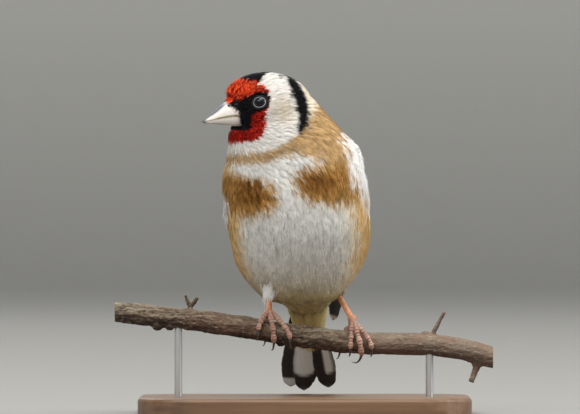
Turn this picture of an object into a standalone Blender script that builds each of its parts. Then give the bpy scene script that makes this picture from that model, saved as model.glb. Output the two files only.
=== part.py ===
"""European goldfinch on a cut length of branch, on a plain display stand.

A still, life-size model. Sizes are in millimetres until a shape is finished, where MM turns them into metres.
+Z is up, the breast faces -Y, and the head is turned to the bird's right, towards -X. The origin is on the
underside of the base, below the perch. Small body feathers are not part of these solids.
Points called bird points are in the bird's own frame, before its slight turn about the vertical.
"""
import math

import bmesh
import bpy
import numpy as np
from mathutils import Matrix, Vector, noise

MM = 0.001
GAP = 0.3  # clear space between neighbouring solids

# Stand
BASE_SIZE = (104.0, 86.0)  # width along X, depth along Y
BASE_THICK = 5.0
BASE_CENTRE = (1.5, 12.0)
BASE_CORNER = 18.0
BASE_EDGE = 1.0
ROD_RADIUS = 1.2
ROD_X = (-38.0, 40.5)
ROD_SINK = 2.0  # how far a rod enters the base and the perch

# Perch: places along the branch's middle line, (x, height, radius)
PERCH_LINE = (
    (-58.0, 31.6, 3.2),
    (-47.0, 30.4, 3.5),
    (-35.0, 29.2, 3.4),
    (-25.0, 28.0, 3.6),
    (-15.0, 26.5, 3.6),
    (-4.0, 24.6, 3.65),
    (6.0, 23.3, 3.7),
    (16.0, 22.1, 3.6),
    (27.0, 21.7, 3.55),
    (40.0, 21.4, 3.7),
    (50.0, 20.0, 3.6),
    (56.0, 18.6, 3.8),
    (60.5, 17.4, 3.5),
)
BARK_ROUGH = 0.045  # share of the radius
BARK_GRAIN = (0.22, 1.6)  # how fast the bark's swelling changes along and round the branch
# Knobs of bark, (x, y, z, radius), and cut twigs, (start, end, start radius, end radius)
KNOBS = (
    (-44.6, -0.8, 27.6, 2.1),
    (-40.6, -1.2, 27.4, 1.7),
    (-2.6, 0.7, 21.2, 1.7),
    (-6.0, 1.2, 22.1, 1.6),
    (39.2, -0.6, 24.0, 1.9),
    (55.6, 0.4, 16.2, 2.4),
)
TWIGS = (
    ((-33.6, 0.0, 31.0), (-35.9, -0.4, 37.0), 0.9, 0.7),
    ((-33.9, 0.0, 33.2), (-32.0, -0.6, 36.2), 0.7, 0.8),
    ((40.6, -0.6, 23.0), (45.2, -1.6, 31.8), 1.0, 0.75),
    ((55.8, 0.4, 16.0), (53.4, -0.4, 9.6), 1.5, 1.15),
)

BODY_YAW = math.radians(-6.0)  # the whole bird's turn about the vertical

# Trunk and neck as level slices of bird points: (height, middle x, half width, front y, back y)
TRUNK = (
    (97.5, -5.6, 11.6, -17.0, -2.5),
    (92.0, -4.7, 15.3, -20.0, 2.0),
    (87.5, -3.5, 18.2, -21.5, 6.0),
    (82.0, -1.0, 21.0, -22.8, 10.0),
    (76.0, -0.8, 22.9, -23.8, 13.5),
    (70.0, -0.8, 23.2, -24.4, 16.5),
    (63.5, -0.5, 22.6, -24.0, 19.0),
    (57.0, 0.0, 22.2, -22.4, 21.0),
    (51.0, -0.1, 21.2, -19.4, 22.6),
    (46.0, -0.5, 19.6, -15.6, 23.4),
    (41.5, -0.8, 16.8, -10.8, 23.6),
    (38.0, -0.8, 13.8, -6.2, 23.0),
    (35.0, -0.4, 10.2, -1.0, 21.0),
    (33.6, 0.0, 5.5, 4.0, 17.0),
)
SLICE_POWER = 2.15  # 2 is an ellipse, more is squarer

# Head: slices across its own forward line, (forward, half width, top, bottom)
HEAD_CENTRE = (-8.8, -11.5, 94.7)
HEAD_YAW = math.radians(-72.0)  # on top of the body's turn
HEAD_PITCH = math.radians(8.0)
HEAD = (
    (13.3, 1.0, 5.2, -5.0),
    (12.6, 2.1, 7.3, -7.4),
    (11.2, 3.2, 9.2, -9.2),
    (9.0, 4.9, 10.6, -10.2),
    (6.0, 7.2, 11.6, -10.9),
    (2.0, 9.2, 12.0, -11.4),
    (-2.0, 10.1, 11.7, -11.5),
    (-6.0, 9.9, 10.5, -11.2),
    (-9.5, 8.6, 8.4, -10.0),
    (-12.2, 6.2, 5.8, -8.0),
    (-13.9, 3.0, 2.4, -4.6),
)
EYE_FORWARD, EYE_SIDE, EYE_UP = 3.5, 6.8, 2.8
EYE_RADIUS = 2.1
EYE_TURN = math.radians(24.0)  # how far each eye looks forward of straight sideways
EYE_LIFT = math.radians(9.0)  # and above level
LID_RING, LID_THICK, LID_OUT = 2.35, 0.42, 1.1  # radius, thickness, distance out from the eye's middle

# Bill, in the head's frame: (forward, half width, ridge height, mouth line, keel height)
BILL = (
    (8.6, 3.5, 5.5, -0.9, -4.1),
    (11.0, 3.35, 5.1, -0.5, -3.75),
    (13.0, 2.85, 4.3, -0.42, -3.2),
    (15.0, 2.25, 3.15, -0.44, -2.7),
    (17.0, 1.65, 1.8, -0.58, -2.25),
    (19.0, 1.0, 0.6, -0.78, -1.85),
    (20.8, 0.45, -0.45, -0.95, -1.5),
    (21.7, 0.18, -0.8, -1.03, -1.25),
)
BILL_ROUND = 0.85  # power of the sine that arches each half, 1 is an ellipse
MOUTH_GAP = 0.3
LOWER_BILL_SHARE = 0.96  # of the upper half's length
LOWER_BILL_WIDTH = 0.93
NOSTRIL = (12.4, 1.7, 3.0, 0.5)  # forward, side, up, radius

# Thin cuts between head, neck and torso: bird point and the way up across the cut
HEAD_CUT = ((-6.0, -6.0, 85.0), (0.05, -0.16, 1.0))
NECK_CUT = ((-2.0, -2.0, 76.5), (0.02, -0.12, 1.0))

# Rump and tail: a line from inside the trunk to the tail's tip, in the bird's middle plane
TAIL_START = (0.0, 13.0, 46.0)
TAIL_LEAN = -0.012  # sideways, as a share of the distance down the line
TAIL_SLOPE = math.radians(44.5)  # below level
TAIL_LENGTH = 56.0
RUMP = (  # (distance along the line, half width, half thickness)
    (0.0, 13.0, 12.0),
    (8.0, 10.6, 9.0),
    (14.0, 8.6, 6.6),
    (20.0, 7.0, 4.5),
    (27.0, 5.9, 2.9),
    (33.0, 5.0, 1.7),
)
TAIL_CUT = 15.5  # where the tail's node starts
CORE_END, CORE_TAPER, CORE_WIDTH = 27.0, 6.0, 0.93  # the tail's fleshy core, its taper and share of the rump
VANE_THICK = 0.6
RECTRICES = 6  # on each side
TAIL_ROOT, ROOT_REACH = 17.0, 0.45  # where the feathers start, and their side reach there as a share
TAIL_FORK, FORK_CURVE = 4.0, 1.4  # how much shorter the innermost are
TAIL_UNEVEN = 1.5  # how much shorter the left half lies
TAIL_SPREAD, SPREAD_CURVE = (1.9, 4.4), 0.8  # side reach of the innermost and outermost tips
TAIL_TOP, TAIL_LAYER = 0.7, 0.3
TAIL_HALF = 2.9
TAIL_SHAPE = ((0.0, 0.6), (0.4, 0.9), (0.9, 1.0), (0.97, 0.8), (1.0, 0.35))  # share of length and width
LOOSE_FEATHER, LOOSE_REACH, LOOSE_LENGTH = 4, -7.1, 51.0  # one outer feather stands apart
COVERTS = 5  # above and below the tail's root
COVERT_HALF = 2.2
COVERT_SIDE, COVERT_TIP_SIDE = 4.6, 3.45  # side reach at root and tip
COVERT_TALL, COVERT_SLOPE = 0.8, 0.25  # height at the root, and how much less at the sides, by the rump's own
COVERT_END, COVERT_CURVE = 34.5, 3.5
COVERT_TIP, COVERT_DROP, COVERT_STAGGER = 1.5, 0.6, 0.12
COVERT_SHAPE = ((0.0, 0.8), (0.5, 1.0), (0.9, 0.6), (1.0, 0.2))

# Thighs and legs, in the world: side name to (thigh top, thigh end, top radius, end radius, heel, foot joint)
LEGS = {
    "left": ((10.2, 6.0, 47.0), (11.8, 7.8, 36.4), 5.2, 2.3, (10.9, 9.3, 38.6), (16.4, -0.3, 29.3)),
    "right": ((-9.6, 5.0, 47.0), (-9.5, 5.8, 34.6), 5.4, 2.2, (-9.4, 9.0, 40.0), (-9.7, -0.3, 31.2)),
}
THIGH_RINGS = ((-0.12, 0.6), (0.0, 0.95), (0.5, 1.0), (0.9, 1.0), (1.0, 0.62))  # share of length and radius
SHANK_RADIUS = 0.86
SHANK_SWELL = (1.25, 1.1, 1.0, 1.12)
HEEL_LENGTH = 1.2
JOINT_RADIUS = 1.62
# Toes: (name, side reach, end angle round the perch, thickness, claw side reach, claw lift)
TOES = {
    "left": (
        ("inner", -0.6, 112.0, 0.82, -0.6, 0.0),
        ("middle", 2.8, 138.0, 0.9, -3.2, 1.9),
        ("outer", 6.0, 110.0, 0.8, -0.4, 0.0),
        ("hind", -3.8, -122.0, 0.9, -1.4, 1.2),
    ),
    "right": (
        ("inner", 6.6, 104.0, 0.8, 0.5, 0.0),
        ("middle", 1.6, 128.0, 0.88, -1.0, 1.3),
        ("outer", -3.2, 92.0, 0.8, -0.6, 0.0),
        ("hind", -1.0, -112.0, 0.9, -1.0, 0.6),
    ),
}
TOE_START, TOE_STEPS = 24.0, 8  # first angle round the perch
TOE_ARCH, HIND_ARCH, TOE_FLAT, ARCH_CURVE = 3.4, 0.6, 62.0, 1.5  # rise over the perch, gone by the flat angle
TOE_CLEAR = 1.08  # share of a toe's thickness between its middle and the bark
TOE_ROOT, KNUCKLE, HOLLOW = 1.15, 1.06, 0.86  # shares of the thickness
CLAW_SWEEP, CLAW_CLEAR = 50.0, 4.6  # degrees round the perch
CLAW_ROOT, CLAW_TIP = 0.56, 0.12
CLAW_STEPS, CLAW_ARCH, CLAW_CURVE = 6, 0.5, 1.4

# Wing sheet: the folded wing's inner face wraps a tapering oval about a sloping line in the middle plane.
WING_SLOPE = math.radians(49.5)  # below level
WING_START = -68.9  # along that slope, measured from the origin
WING_LENGTH = 73.0
WING = (  # (share of the length, half width, half height, height of the oval's middle above the slope line)
    (0.0, 17.8, 13.5, 40.5),
    (0.2, 19.4, 16.0, 40.5),
    (0.4, 19.3, 16.6, 40.5),
    (0.6, 16.4, 14.2, 41.0),
    (0.8, 12.0, 9.8, 41.8),
    (1.0, 9.6, 7.0, 43.0),
)

WING_PAD = 1.5  # thickness of the arm and the small coverts
WING_TILT = 0.17  # each feather's lower edge stands this far off the one below
VANE_RISE = 0.35  # share of a feather's length over which it rises out of the arm
FLIGHT_SHAPE = ((0.0, 0.6), (0.35, 1.0), (0.72, 1.0), (0.93, 0.72), (1.0, 0.25))  # share of length and width
TIER_CURVE = 1.25
WING_TIERS = (  # count, root share, root angles, tip shares, tip angles, half width, height, step up
    (7, 0.40, (17.0, 36.0), (1.0, 0.80), (41.0, 55.0), 2.1, 0.45, 0.16),
    (6, 0.38, (38.0, 62.0), (0.77, 0.67), (53.0, 68.0), 2.3, 1.15, 0.1),
    (3, 0.36, (63.0, 70.0), (0.71, 0.56), (69.0, 75.0), 2.9, 1.9, 0.15),
    (3, 0.24, (14.0, 23.0), (0.50, 0.46), (20.0, 31.0), 1.9, 1.25, 0.12),
    (8, 0.20, (20.0, 50.0), (0.43, 0.40), (25.0, 67.0), 2.5, 1.65, 0.05),
    (8, 0.12, (18.0, 38.0), (0.29, 0.27), (20.0, 57.0), 2.3, 2.0, 0.04),
)
WING_PAD_OUTLINE = (
    (0.04, 18.0, 28.0),
    (0.14, 11.0, 46.0),
    (0.3, 8.0, 66.0),
    (0.44, 10.0, 73.0),
    (0.52, 16.0, 70.0),
)
BED_OUTLINE = (  # what the wing covers of the trunk: (share of the length, first angle, last angle)
    (0.04, 16.0, 30.0),
    (0.14, 10.0, 48.0),
    (0.3, 8.0, 71.0),
    (0.4, 8.0, 77.0),
    (0.5, 10.0, 80.0),
    (0.6, 13.0, 78.0),
    (0.7, 18.0, 74.0),
    (0.8, 20.0, 62.0),
    (0.92, 26.0, 58.0),
    (1.0, 34.0, 50.0),
)
BED_ANGLE, BED_SHARE = 5.0, 0.02  # clear room round that outline
BED_DEPTH, BED_HEIGHT = 0.6, 9.0

# How finely the shapes are made
MERGE = 0.0005
SLICE_STEP, HEAD_STEP, RUMP_STEP, CORE_STEP, BILL_STEP, PERCH_STEP = 1.5, 1.0, 2.0, 2.6, 1.1, 4.9
RING_POINTS, BILL_POINTS, PERCH_POINTS, CORE_POINTS = 48, 11, 12, 20
FLESH_VOXEL = 0.8
FLESH_SMOOTHING = 10
FLESH_SHARE = 0.053  # of the faces kept
EYE_SEGMENTS, EYE_RINGS = 16, 10
LID_POINTS, LID_SIDES = 24, 6
WING_STEP, WING_ACROSS = 0.08, 9
HOLE_SIDES = 16
HOLE_DEPTH = 12.0
CUT_SIZE = 220.0

FINISHES = {  # colour, roughness, metallic
    "face": ((0.55, 0.06, 0.03), 0.8),
    "collar": ((0.78, 0.72, 0.62), 0.85),
    "breast": ((0.74, 0.66, 0.54), 0.85),
    "wing": ((0.03, 0.028, 0.027), 0.6),
    "bill": ((0.72, 0.56, 0.5), 0.4),
    "eye": ((0.012, 0.008, 0.007), 0.08),
    "leg": ((0.56, 0.32, 0.24), 0.55),
    "claw": ((0.09, 0.06, 0.05), 0.35),
    "bark": ((0.16, 0.12, 0.1), 0.9),
    "wood": ((0.3, 0.2, 0.12), 0.5),
    "steel": ((0.6, 0.6, 0.6), 0.35, 1.0),
}


# Small tools

def clear_scene():
    for old in list(bpy.data.objects):
        bpy.data.objects.remove(old, do_unlink=True)


def read_table(table, places):
    """Rows of a table at some places along its first column, by a smooth curve through the rows."""
    rows = np.array(sorted(table), dtype=float)
    keys, values = rows[:, 0], rows[:, 1:]
    slopes = np.gradient(values, keys, axis=0)
    found = []
    for place in places:
        i = int(np.clip(np.searchsorted(keys, place) - 1, 0, len(keys) - 2))
        span = keys[i + 1] - keys[i]
        u = min(max((place - keys[i]) / span, 0.0), 1.0)
        start = (2 * u**3 - 3 * u**2 + 1) * values[i] + (u**3 - 2 * u**2 + u) * span * slopes[i]
        end = (3 * u**2 - 2 * u**3) * values[i + 1] + (u**3 - u**2) * span * slopes[i + 1]
        found.append(start + end)
    return np.array(found)


def steps(first, last, size):
    count = max(2, int(round(abs(last - first) / size)) + 1)
    return np.linspace(first, last, count)


def mesh_object(name, bm):
    bmesh.ops.recalc_face_normals(bm, faces=bm.faces)
    if bm.calc_volume(signed=True) < 0:
        bmesh.ops.reverse_faces(bm, faces=bm.faces)
    mesh = bpy.data.meshes.new(name)
    bm.to_mesh(mesh)
    bm.free()
    obj = bpy.data.objects.new(name, mesh)
    bpy.context.scene.collection.objects.link(obj)
    return obj


def oval(centre, across, up, half_across, half_up, count=RING_POINTS, power=2.0):
    """Points round an oval; a power above 2 squares it."""
    points = []
    for k in range(count):
        angle = 2 * math.pi * k / count
        c, s = math.cos(angle), math.sin(angle)
        side = math.copysign(abs(c) ** (2 / power), c) * half_across
        rise = math.copysign(abs(s) ** (2 / power), s) * half_up
        points.append(centre + across * side + up * rise)
    return points


def loft(name, rings):
    """A closed body through rings of the same number of points, with a flat face at each end."""
    bm = bmesh.new()
    loops = [[bm.verts.new(point) for point in ring] for ring in rings]
    count = len(loops[0])
    for low, high in zip(loops, loops[1:]):
        for k in range(count):
            n = (k + 1) % count
            bm.faces.new((low[k], low[n], high[n], high[k]))
    bm.faces.new(list(reversed(loops[0])))
    bm.faces.new(loops[-1])
    return mesh_object(name, bm)


def tube(name, points, radii, sides=8):
    """A round tapering tube through points, from a curve with filled caps, made a closed mesh."""
    curve = bpy.data.curves.new(name, "CURVE")
    curve.dimensions = "3D"
    curve.bevel_depth = 1.0
    curve.bevel_resolution = max(0, sides // 2 - 2)
    curve.use_fill_caps = True
    spline = curve.splines.new("POLY")
    spline.points.add(len(points) - 1)
    for point, place, radius in zip(spline.points, points, radii):
        point.co = (*place, 1.0)
        point.radius = radius
    drawn = bpy.data.objects.new(name, curve)
    bpy.context.scene.collection.objects.link(drawn)
    graph = bpy.context.evaluated_depsgraph_get()
    mesh = bpy.data.meshes.new_from_object(drawn.evaluated_get(graph))
    bpy.data.objects.remove(drawn, do_unlink=True)
    bm = bmesh.new()
    bm.from_mesh(mesh)
    bpy.data.meshes.remove(mesh)
    bmesh.ops.remove_doubles(bm, verts=bm.verts, dist=MERGE)
    return mesh_object(name, bm)


def ball(name, centre, radius, segments=16, rings=10):
    bm = bmesh.new()
    bmesh.ops.create_uvsphere(bm, u_segments=segments, v_segments=rings, radius=radius)
    bmesh.ops.translate(bm, verts=bm.verts, vec=centre)
    return mesh_object(name, bm)


def cylinder(name, low, high, radius, segments=24):
    """An upright cylinder between two points."""
    bm = bmesh.new()
    height = high[2] - low[2]
    bmesh.ops.create_cone(
        bm, cap_ends=True, segments=segments, radius1=radius, radius2=radius, depth=height
    )
    bmesh.ops.translate(bm, verts=bm.verts, vec=(low[0], low[1], low[2] + height / 2))
    return mesh_object(name, bm)


def bake(obj):
    """Keep an object's mesh as its modifiers leave it."""
    graph = bpy.context.evaluated_depsgraph_get()
    mesh = bpy.data.meshes.new_from_object(obj.evaluated_get(graph))
    obj.modifiers.clear()
    obj.data = mesh


def combine(obj, others, operation, solver="MANIFOLD"):
    """One Boolean of an object with a collection of closed bodies, which are then removed."""
    group = bpy.data.collections.new("cutters")
    for other in others:
        group.objects.link(other)
    modifier = obj.modifiers.new("boolean", "BOOLEAN")
    modifier.operation = operation
    modifier.solver = solver
    modifier.operand_type = "COLLECTION"
    modifier.collection = group
    bake(obj)
    for other in others:
        bpy.data.objects.remove(other, do_unlink=True)
    bpy.data.collections.remove(group)
    return obj


def copy_of(obj, name):
    twin = bpy.data.objects.new(name, obj.data.copy())
    bpy.context.scene.collection.objects.link(twin)
    return twin


def keep_largest(obj):
    """Leave only the largest closed surface of a mesh, and split its faces into triangles."""
    bm = bmesh.new()
    bm.from_mesh(obj.data)
    bmesh.ops.remove_doubles(bm, verts=bm.verts, dist=MERGE)
    bmesh.ops.dissolve_degenerate(bm, edges=bm.edges, dist=MERGE)
    bmesh.ops.triangulate(bm, faces=bm.faces)
    left = set(bm.faces)
    bodies = []
    while left:
        body, reach = set(), [left.pop()]
        while reach:
            face = reach.pop()
            body.add(face)
            for edge in face.edges:
                for other in edge.link_faces:
                    if other in left:
                        left.remove(other)
                        reach.append(other)
        bodies.append(body)
    largest = max(bodies, key=lambda body: sum(face.calc_area() for face in body))
    loose = [face for body in bodies if body is not largest for face in body]
    bmesh.ops.delete(bm, geom=loose, context="FACES")
    bm.to_mesh(obj.data)
    bm.free()


def material(name, colour, roughness, metallic=0.0):
    made = bpy.data.materials.new(name)
    made.use_nodes = True
    shader = made.node_tree.nodes["Principled BSDF"]
    shader.inputs["Base Color"].default_value = (*colour, 1.0)
    shader.inputs["Roughness"].default_value = roughness
    shader.inputs["Metallic"].default_value = metallic
    return made


def finish(obj, name, made_material, collection):
    """Name a finished body, turn its millimetres into metres and put it in the model's collection."""
    keep_largest(obj)
    obj.name = name
    obj.data.name = name
    obj.data.transform(Matrix.Scale(MM, 4))
    obj.data.materials.clear()
    obj.data.materials.append(made_material)
    obj.data.shade_smooth()
    for owner in list(obj.users_collection):
        owner.objects.unlink(obj)
    collection.objects.link(obj)


# Frames

BIRD = Matrix.Rotation(BODY_YAW, 4, "Z")


def bird_point(x, y, z):
    return BIRD @ Vector((x, y, z))


def head_matrix():
    """Columns are the head's forward, left and up directions, and its middle."""
    turn = Matrix.Rotation(BODY_YAW + HEAD_YAW, 3, "Z")
    forward = turn @ Vector((0.0, -math.cos(HEAD_PITCH), -math.sin(HEAD_PITCH)))
    side = turn @ Vector((1.0, 0.0, 0.0))
    up = turn @ Vector((0.0, -math.sin(HEAD_PITCH), math.cos(HEAD_PITCH)))
    frame = Matrix((forward, side, up)).transposed().to_4x4()
    frame.translation = bird_point(*HEAD_CENTRE)
    return frame


HEAD_FRAME = head_matrix()
TAIL_ALONG = Vector((0.0, math.cos(TAIL_SLOPE), -math.sin(TAIL_SLOPE)))
TAIL_ABOVE = Vector((0.0, math.sin(TAIL_SLOPE), math.cos(TAIL_SLOPE)))
WING_ALONG = Vector((0.0, math.cos(WING_SLOPE), -math.sin(WING_SLOPE)))
WING_ABOVE = Vector((0.0, math.sin(WING_SLOPE), math.cos(WING_SLOPE)))


def tail_point(along, side, above):
    """A place by its distance down the tail's line, to the bird's left and above the line."""
    place = Vector(TAIL_START) + TAIL_ALONG * along + TAIL_ABOVE * above
    place.x += side + TAIL_LEAN * along
    return BIRD @ place


def perch_at(x):
    """Height of the branch's middle line and its radius at x."""
    height, radius = read_table(PERCH_LINE, [x])[0]
    return height, radius


# Head, neck and torso

def trunk():
    heights = steps(TRUNK[0][0], TRUNK[-1][0], SLICE_STEP)
    rings = []
    for height, (middle, half, front, back) in zip(heights, read_table(TRUNK, heights)):
        centre = bird_point(middle, (front + back) / 2, height)
        across, back_way = BIRD.to_3x3() @ Vector((1, 0, 0)), BIRD.to_3x3() @ Vector((0, 1, 0))
        rings.append(oval(centre, across, back_way, half, (back - front) / 2, power=SLICE_POWER))
    return loft("trunk", rings)


def head_form():
    frame = HEAD_FRAME.to_3x3()
    places = steps(HEAD[0][0], HEAD[-1][0], HEAD_STEP)
    rings = []
    for place, (half, top, bottom) in zip(places, read_table(HEAD, places)):
        centre = HEAD_FRAME @ Vector((place, 0.0, (top + bottom) / 2))
        rings.append(oval(centre, frame.col[1], frame.col[2], half, (top - bottom) / 2))
    return loft("head_form", rings)


def rump():
    places = steps(RUMP[0][0], RUMP[-1][0], RUMP_STEP)
    across, above = BIRD.to_3x3() @ Vector((1, 0, 0)), BIRD.to_3x3() @ TAIL_ABOVE
    rings = []
    for place, (half, thick) in zip(places, read_table(RUMP, places)):
        rings.append(oval(tail_point(place, 0.0, 0.0), across, above, half, thick))
    return loft("rump", rings)


def flesh():
    """The whole soft body as one smooth surface."""
    body = trunk()
    parts = [head_form(), rump()]
    bm = bmesh.new()
    for part in [body, *parts]:
        bm.from_mesh(part.data)
    bm.to_mesh(body.data)
    bm.free()
    for part in parts:
        bpy.data.objects.remove(part, do_unlink=True)
    remesh = body.modifiers.new("one surface", "REMESH")
    remesh.mode = "VOXEL"
    remesh.voxel_size = FLESH_VOXEL
    smooth = body.modifiers.new("soften", "SMOOTH")
    smooth.factor = 0.5
    smooth.iterations = FLESH_SMOOTHING
    fewer = body.modifiers.new("fewer faces", "DECIMATE")
    fewer.ratio = FLESH_SHARE
    bake(body)
    return body


def cut_away(obj, point, normal):
    """Remove what lies beyond a plane, on the side that the normal points to."""
    bm = bmesh.new()
    bmesh.ops.create_cube(bm, size=CUT_SIZE)
    bmesh.ops.translate(bm, verts=bm.verts, vec=(0.0, 0.0, CUT_SIZE / 2))
    turn = Vector((0.0, 0.0, 1.0)).rotation_difference(normal).to_matrix().to_4x4()
    bm.transform(Matrix.Translation(point) @ turn)
    combine(obj, [mesh_object("cut", bm)], "DIFFERENCE")


def bill_half(name, upper, grow=0.0):
    """Upper or lower half of the bill; grow makes the same form larger all round."""
    places = steps(BILL[0][0], BILL[-1][0], BILL_STEP)
    rings = []
    for place, (half, ridge, mouth, keel) in zip(places, read_table(BILL, places)):
        if not upper:
            place = BILL[0][0] + (place - BILL[0][0]) * LOWER_BILL_SHARE
        if place == BILL[0][0]:
            place -= grow
        edge = mouth + (MOUTH_GAP / 2 if upper else -MOUTH_GAP / 2)
        far = ridge if upper else keel
        edge += -grow if upper else grow
        far += grow if upper else -grow
        points = []
        for k in range(BILL_POINTS):
            angle = math.pi * k / (BILL_POINTS - 1)
            side = math.cos(angle) * (half * (1.0 if upper else LOWER_BILL_WIDTH) + grow)
            rise = edge + (far - edge) * math.sin(angle) ** BILL_ROUND
            points.append(HEAD_FRAME @ Vector((place, side, rise)))
        rings.append(points)
    return loft(name, rings)


def eye_centre(side):
    return Vector((EYE_FORWARD, side * EYE_SIDE, EYE_UP))


def eye_look(side):
    """The way an eye looks, in the head's frame."""
    level = Vector((math.sin(EYE_TURN), side * math.cos(EYE_TURN), 0.0))
    return (level * math.cos(EYE_LIFT) + Vector((0.0, 0.0, math.sin(EYE_LIFT)))).normalized()


def lid(side):
    """A ring of bare skin round an eye."""
    look = eye_look(side)
    across = look.orthogonal().normalized()
    other = look.cross(across)
    bm = bmesh.new()
    loops = []
    for k in range(LID_POINTS):
        angle = 2 * math.pi * k / LID_POINTS
        out = across * math.cos(angle) + other * math.sin(angle)
        loop = []
        for j in range(LID_SIDES):
            turn = 2 * math.pi * j / LID_SIDES
            place = eye_centre(side) + look * (LID_OUT + LID_THICK * math.sin(turn))
            place += out * (LID_RING + LID_THICK * math.cos(turn))
            loop.append(bm.verts.new(HEAD_FRAME @ place))
        loops.append(loop)
    for k in range(LID_POINTS):
        here, there = loops[k], loops[(k + 1) % LID_POINTS]
        for j in range(LID_SIDES):
            n = (j + 1) % LID_SIDES
            bm.faces.new((here[j], here[n], there[n], there[j]))
    return mesh_object("lid", bm)


def nostril(side):
    forward, out, up, radius = NOSTRIL
    place = HEAD_FRAME @ Vector((forward, side * out, up))
    return ball("nostril", place, radius, 10, 6)


# Wings

def wing_point(side, share, angle, height):
    """A place on the wing's sheet: share of its length, angle round the body in degrees, height off it."""
    half, tall, middle = read_table(WING, [share])[0]
    a = math.radians(angle)
    out = Vector((math.cos(a) / half, math.sin(a) / tall, 0.0)).normalized()
    x = half * math.cos(a) + out.x * height
    above = middle + tall * math.sin(a) + out.y * height
    place = WING_ALONG * (WING_START + share * WING_LENGTH) + WING_ABOVE * above
    place.x = side * x
    return BIRD @ place


def slab(name, low, high):
    """A closed thin body between two grids of points, split into triangles alike on both faces."""
    bm = bmesh.new()
    inner = [[bm.verts.new(point) for point in row] for row in low]
    outer = [[bm.verts.new(point) for point in row] for row in high]
    rows, columns = len(inner), len(inner[0])
    for grid in (inner, outer):
        for i in range(rows - 1):
            for j in range(columns - 1):
                a, b, c, d = grid[i][j], grid[i][j + 1], grid[i + 1][j + 1], grid[i + 1][j]
                bm.faces.new((a, b, c))
                bm.faces.new((a, c, d))
    for i in range(rows - 1):
        for j in (0, columns - 1):
            bm.faces.new((inner[i][j], inner[i + 1][j], outer[i + 1][j], outer[i][j]))
    for j in range(columns - 1):
        for i in (0, rows - 1):
            bm.faces.new((inner[i][j], inner[i][j + 1], outer[i][j + 1], outer[i][j]))
    return mesh_object(name, bm)


def vane(name, place, half, stations, columns=2):
    """One feather; place turns (share of its length, way across, height) into a point."""
    low, high = [], []
    for share, wide in stations:
        ways = np.linspace(-half * wide, half * wide, columns)
        low.append([place(share, way, -VANE_THICK / 2) for way in ways])
        high.append([place(share, way, VANE_THICK / 2) for way in ways])
    return slab(name, low, high)


def wing_sheet(name, side, outline, low, high, across):
    """A curved slab on the wing's sheet; outline holds (share, first angle, last angle)."""
    places = steps(outline[0][0], outline[-1][0], WING_STEP)
    grids = []
    for height in (low, high):
        grid = []
        for place, (first, last) in zip(places, read_table(outline, places)):
            angles = np.linspace(first, last, across)
            grid.append([wing_point(side, place, angle, height) for angle in angles])
        grids.append(grid)
    return slab(name, *grids)


def wing_vane(side, root, tip, half, height):
    """A feather on the wing's sheet between two places, each (share, angle); its lower edge is raised."""

    def place(share, way, level):
        along = root[0] + (tip[0] - root[0]) * share
        angle = root[1] + (tip[1] - root[1]) * share
        wide, tall = read_table(WING, [along])[0][:2]
        a = math.radians(angle)
        reach = math.radians(math.hypot(wide * math.sin(a), tall * math.cos(a)))
        rise = WING_PAD / 2 + (height - WING_PAD / 2) * min(1.0, share / VANE_RISE)
        return wing_point(side, along, angle + way / reach, rise - WING_TILT * way + level)

    return vane("vane", place, half, FLIGHT_SHAPE)


def tier(side, count, root_share, root_angles, tip_shares, tip_angles, half, height, rise):
    """A row of feathers, counted from the wing's lower edge up towards the back."""
    row = []
    for k in range(count):
        u = k / (count - 1)
        root = (root_share, root_angles[0] + (root_angles[1] - root_angles[0]) * u)
        reach = tip_shares[0] + (tip_shares[1] - tip_shares[0]) * u**TIER_CURVE
        tip = (reach, tip_angles[0] + (tip_angles[1] - tip_angles[0]) * u)
        row.append(wing_vane(side, root, tip, half, height + rise * k))
    return row


def wing(side, name):
    pad = wing_sheet(name, side, WING_PAD_OUTLINE, 0.0, WING_PAD, WING_ACROSS)
    feathers = []
    for row in WING_TIERS:
        feathers += tier(side, *row)
    return combine(pad, feathers, "UNION")


def wing_bed(side):
    """What the trunk loses so that a wing lies clear of it."""
    wider = [(share, first - BED_ANGLE, last + BED_ANGLE) for share, first, last in BED_OUTLINE]
    wider[0] = (wider[0][0] - BED_SHARE, wider[0][1], wider[0][2])
    wider[-1] = (wider[-1][0] + BED_SHARE, wider[-1][1], wider[-1][2])
    return wing_sheet("bed", side, wider, -BED_DEPTH, BED_HEIGHT, WING_ACROSS)


# Tail

def tail_vane(root, tip, half, shape):
    """A feather of the tail between two places, each (distance down the line, side, height above it)."""

    def place(share, way, level):
        along, side, above = (root[i] + (tip[i] - root[i]) * share for i in range(3))
        return tail_point(along, side + way, above + level)

    return vane("vane", place, half, shape)


def tail_core(name):
    places = steps(TAIL_CUT - 1.0, CORE_END, CORE_STEP)
    across, above = BIRD.to_3x3() @ Vector((1, 0, 0)), BIRD.to_3x3() @ TAIL_ABOVE
    rings = []
    for place, (half, thick) in zip(places, read_table(RUMP, places)):
        shrink = math.sqrt(max(0.02, 1 - max(0.0, (place - CORE_END) / CORE_TAPER + 1) ** 2))
        centre = tail_point(place, 0.0, 0.0)
        rings.append(oval(centre, across, above, half * CORE_WIDTH, thick * shrink, CORE_POINTS))
    return loft(name, rings)


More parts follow.
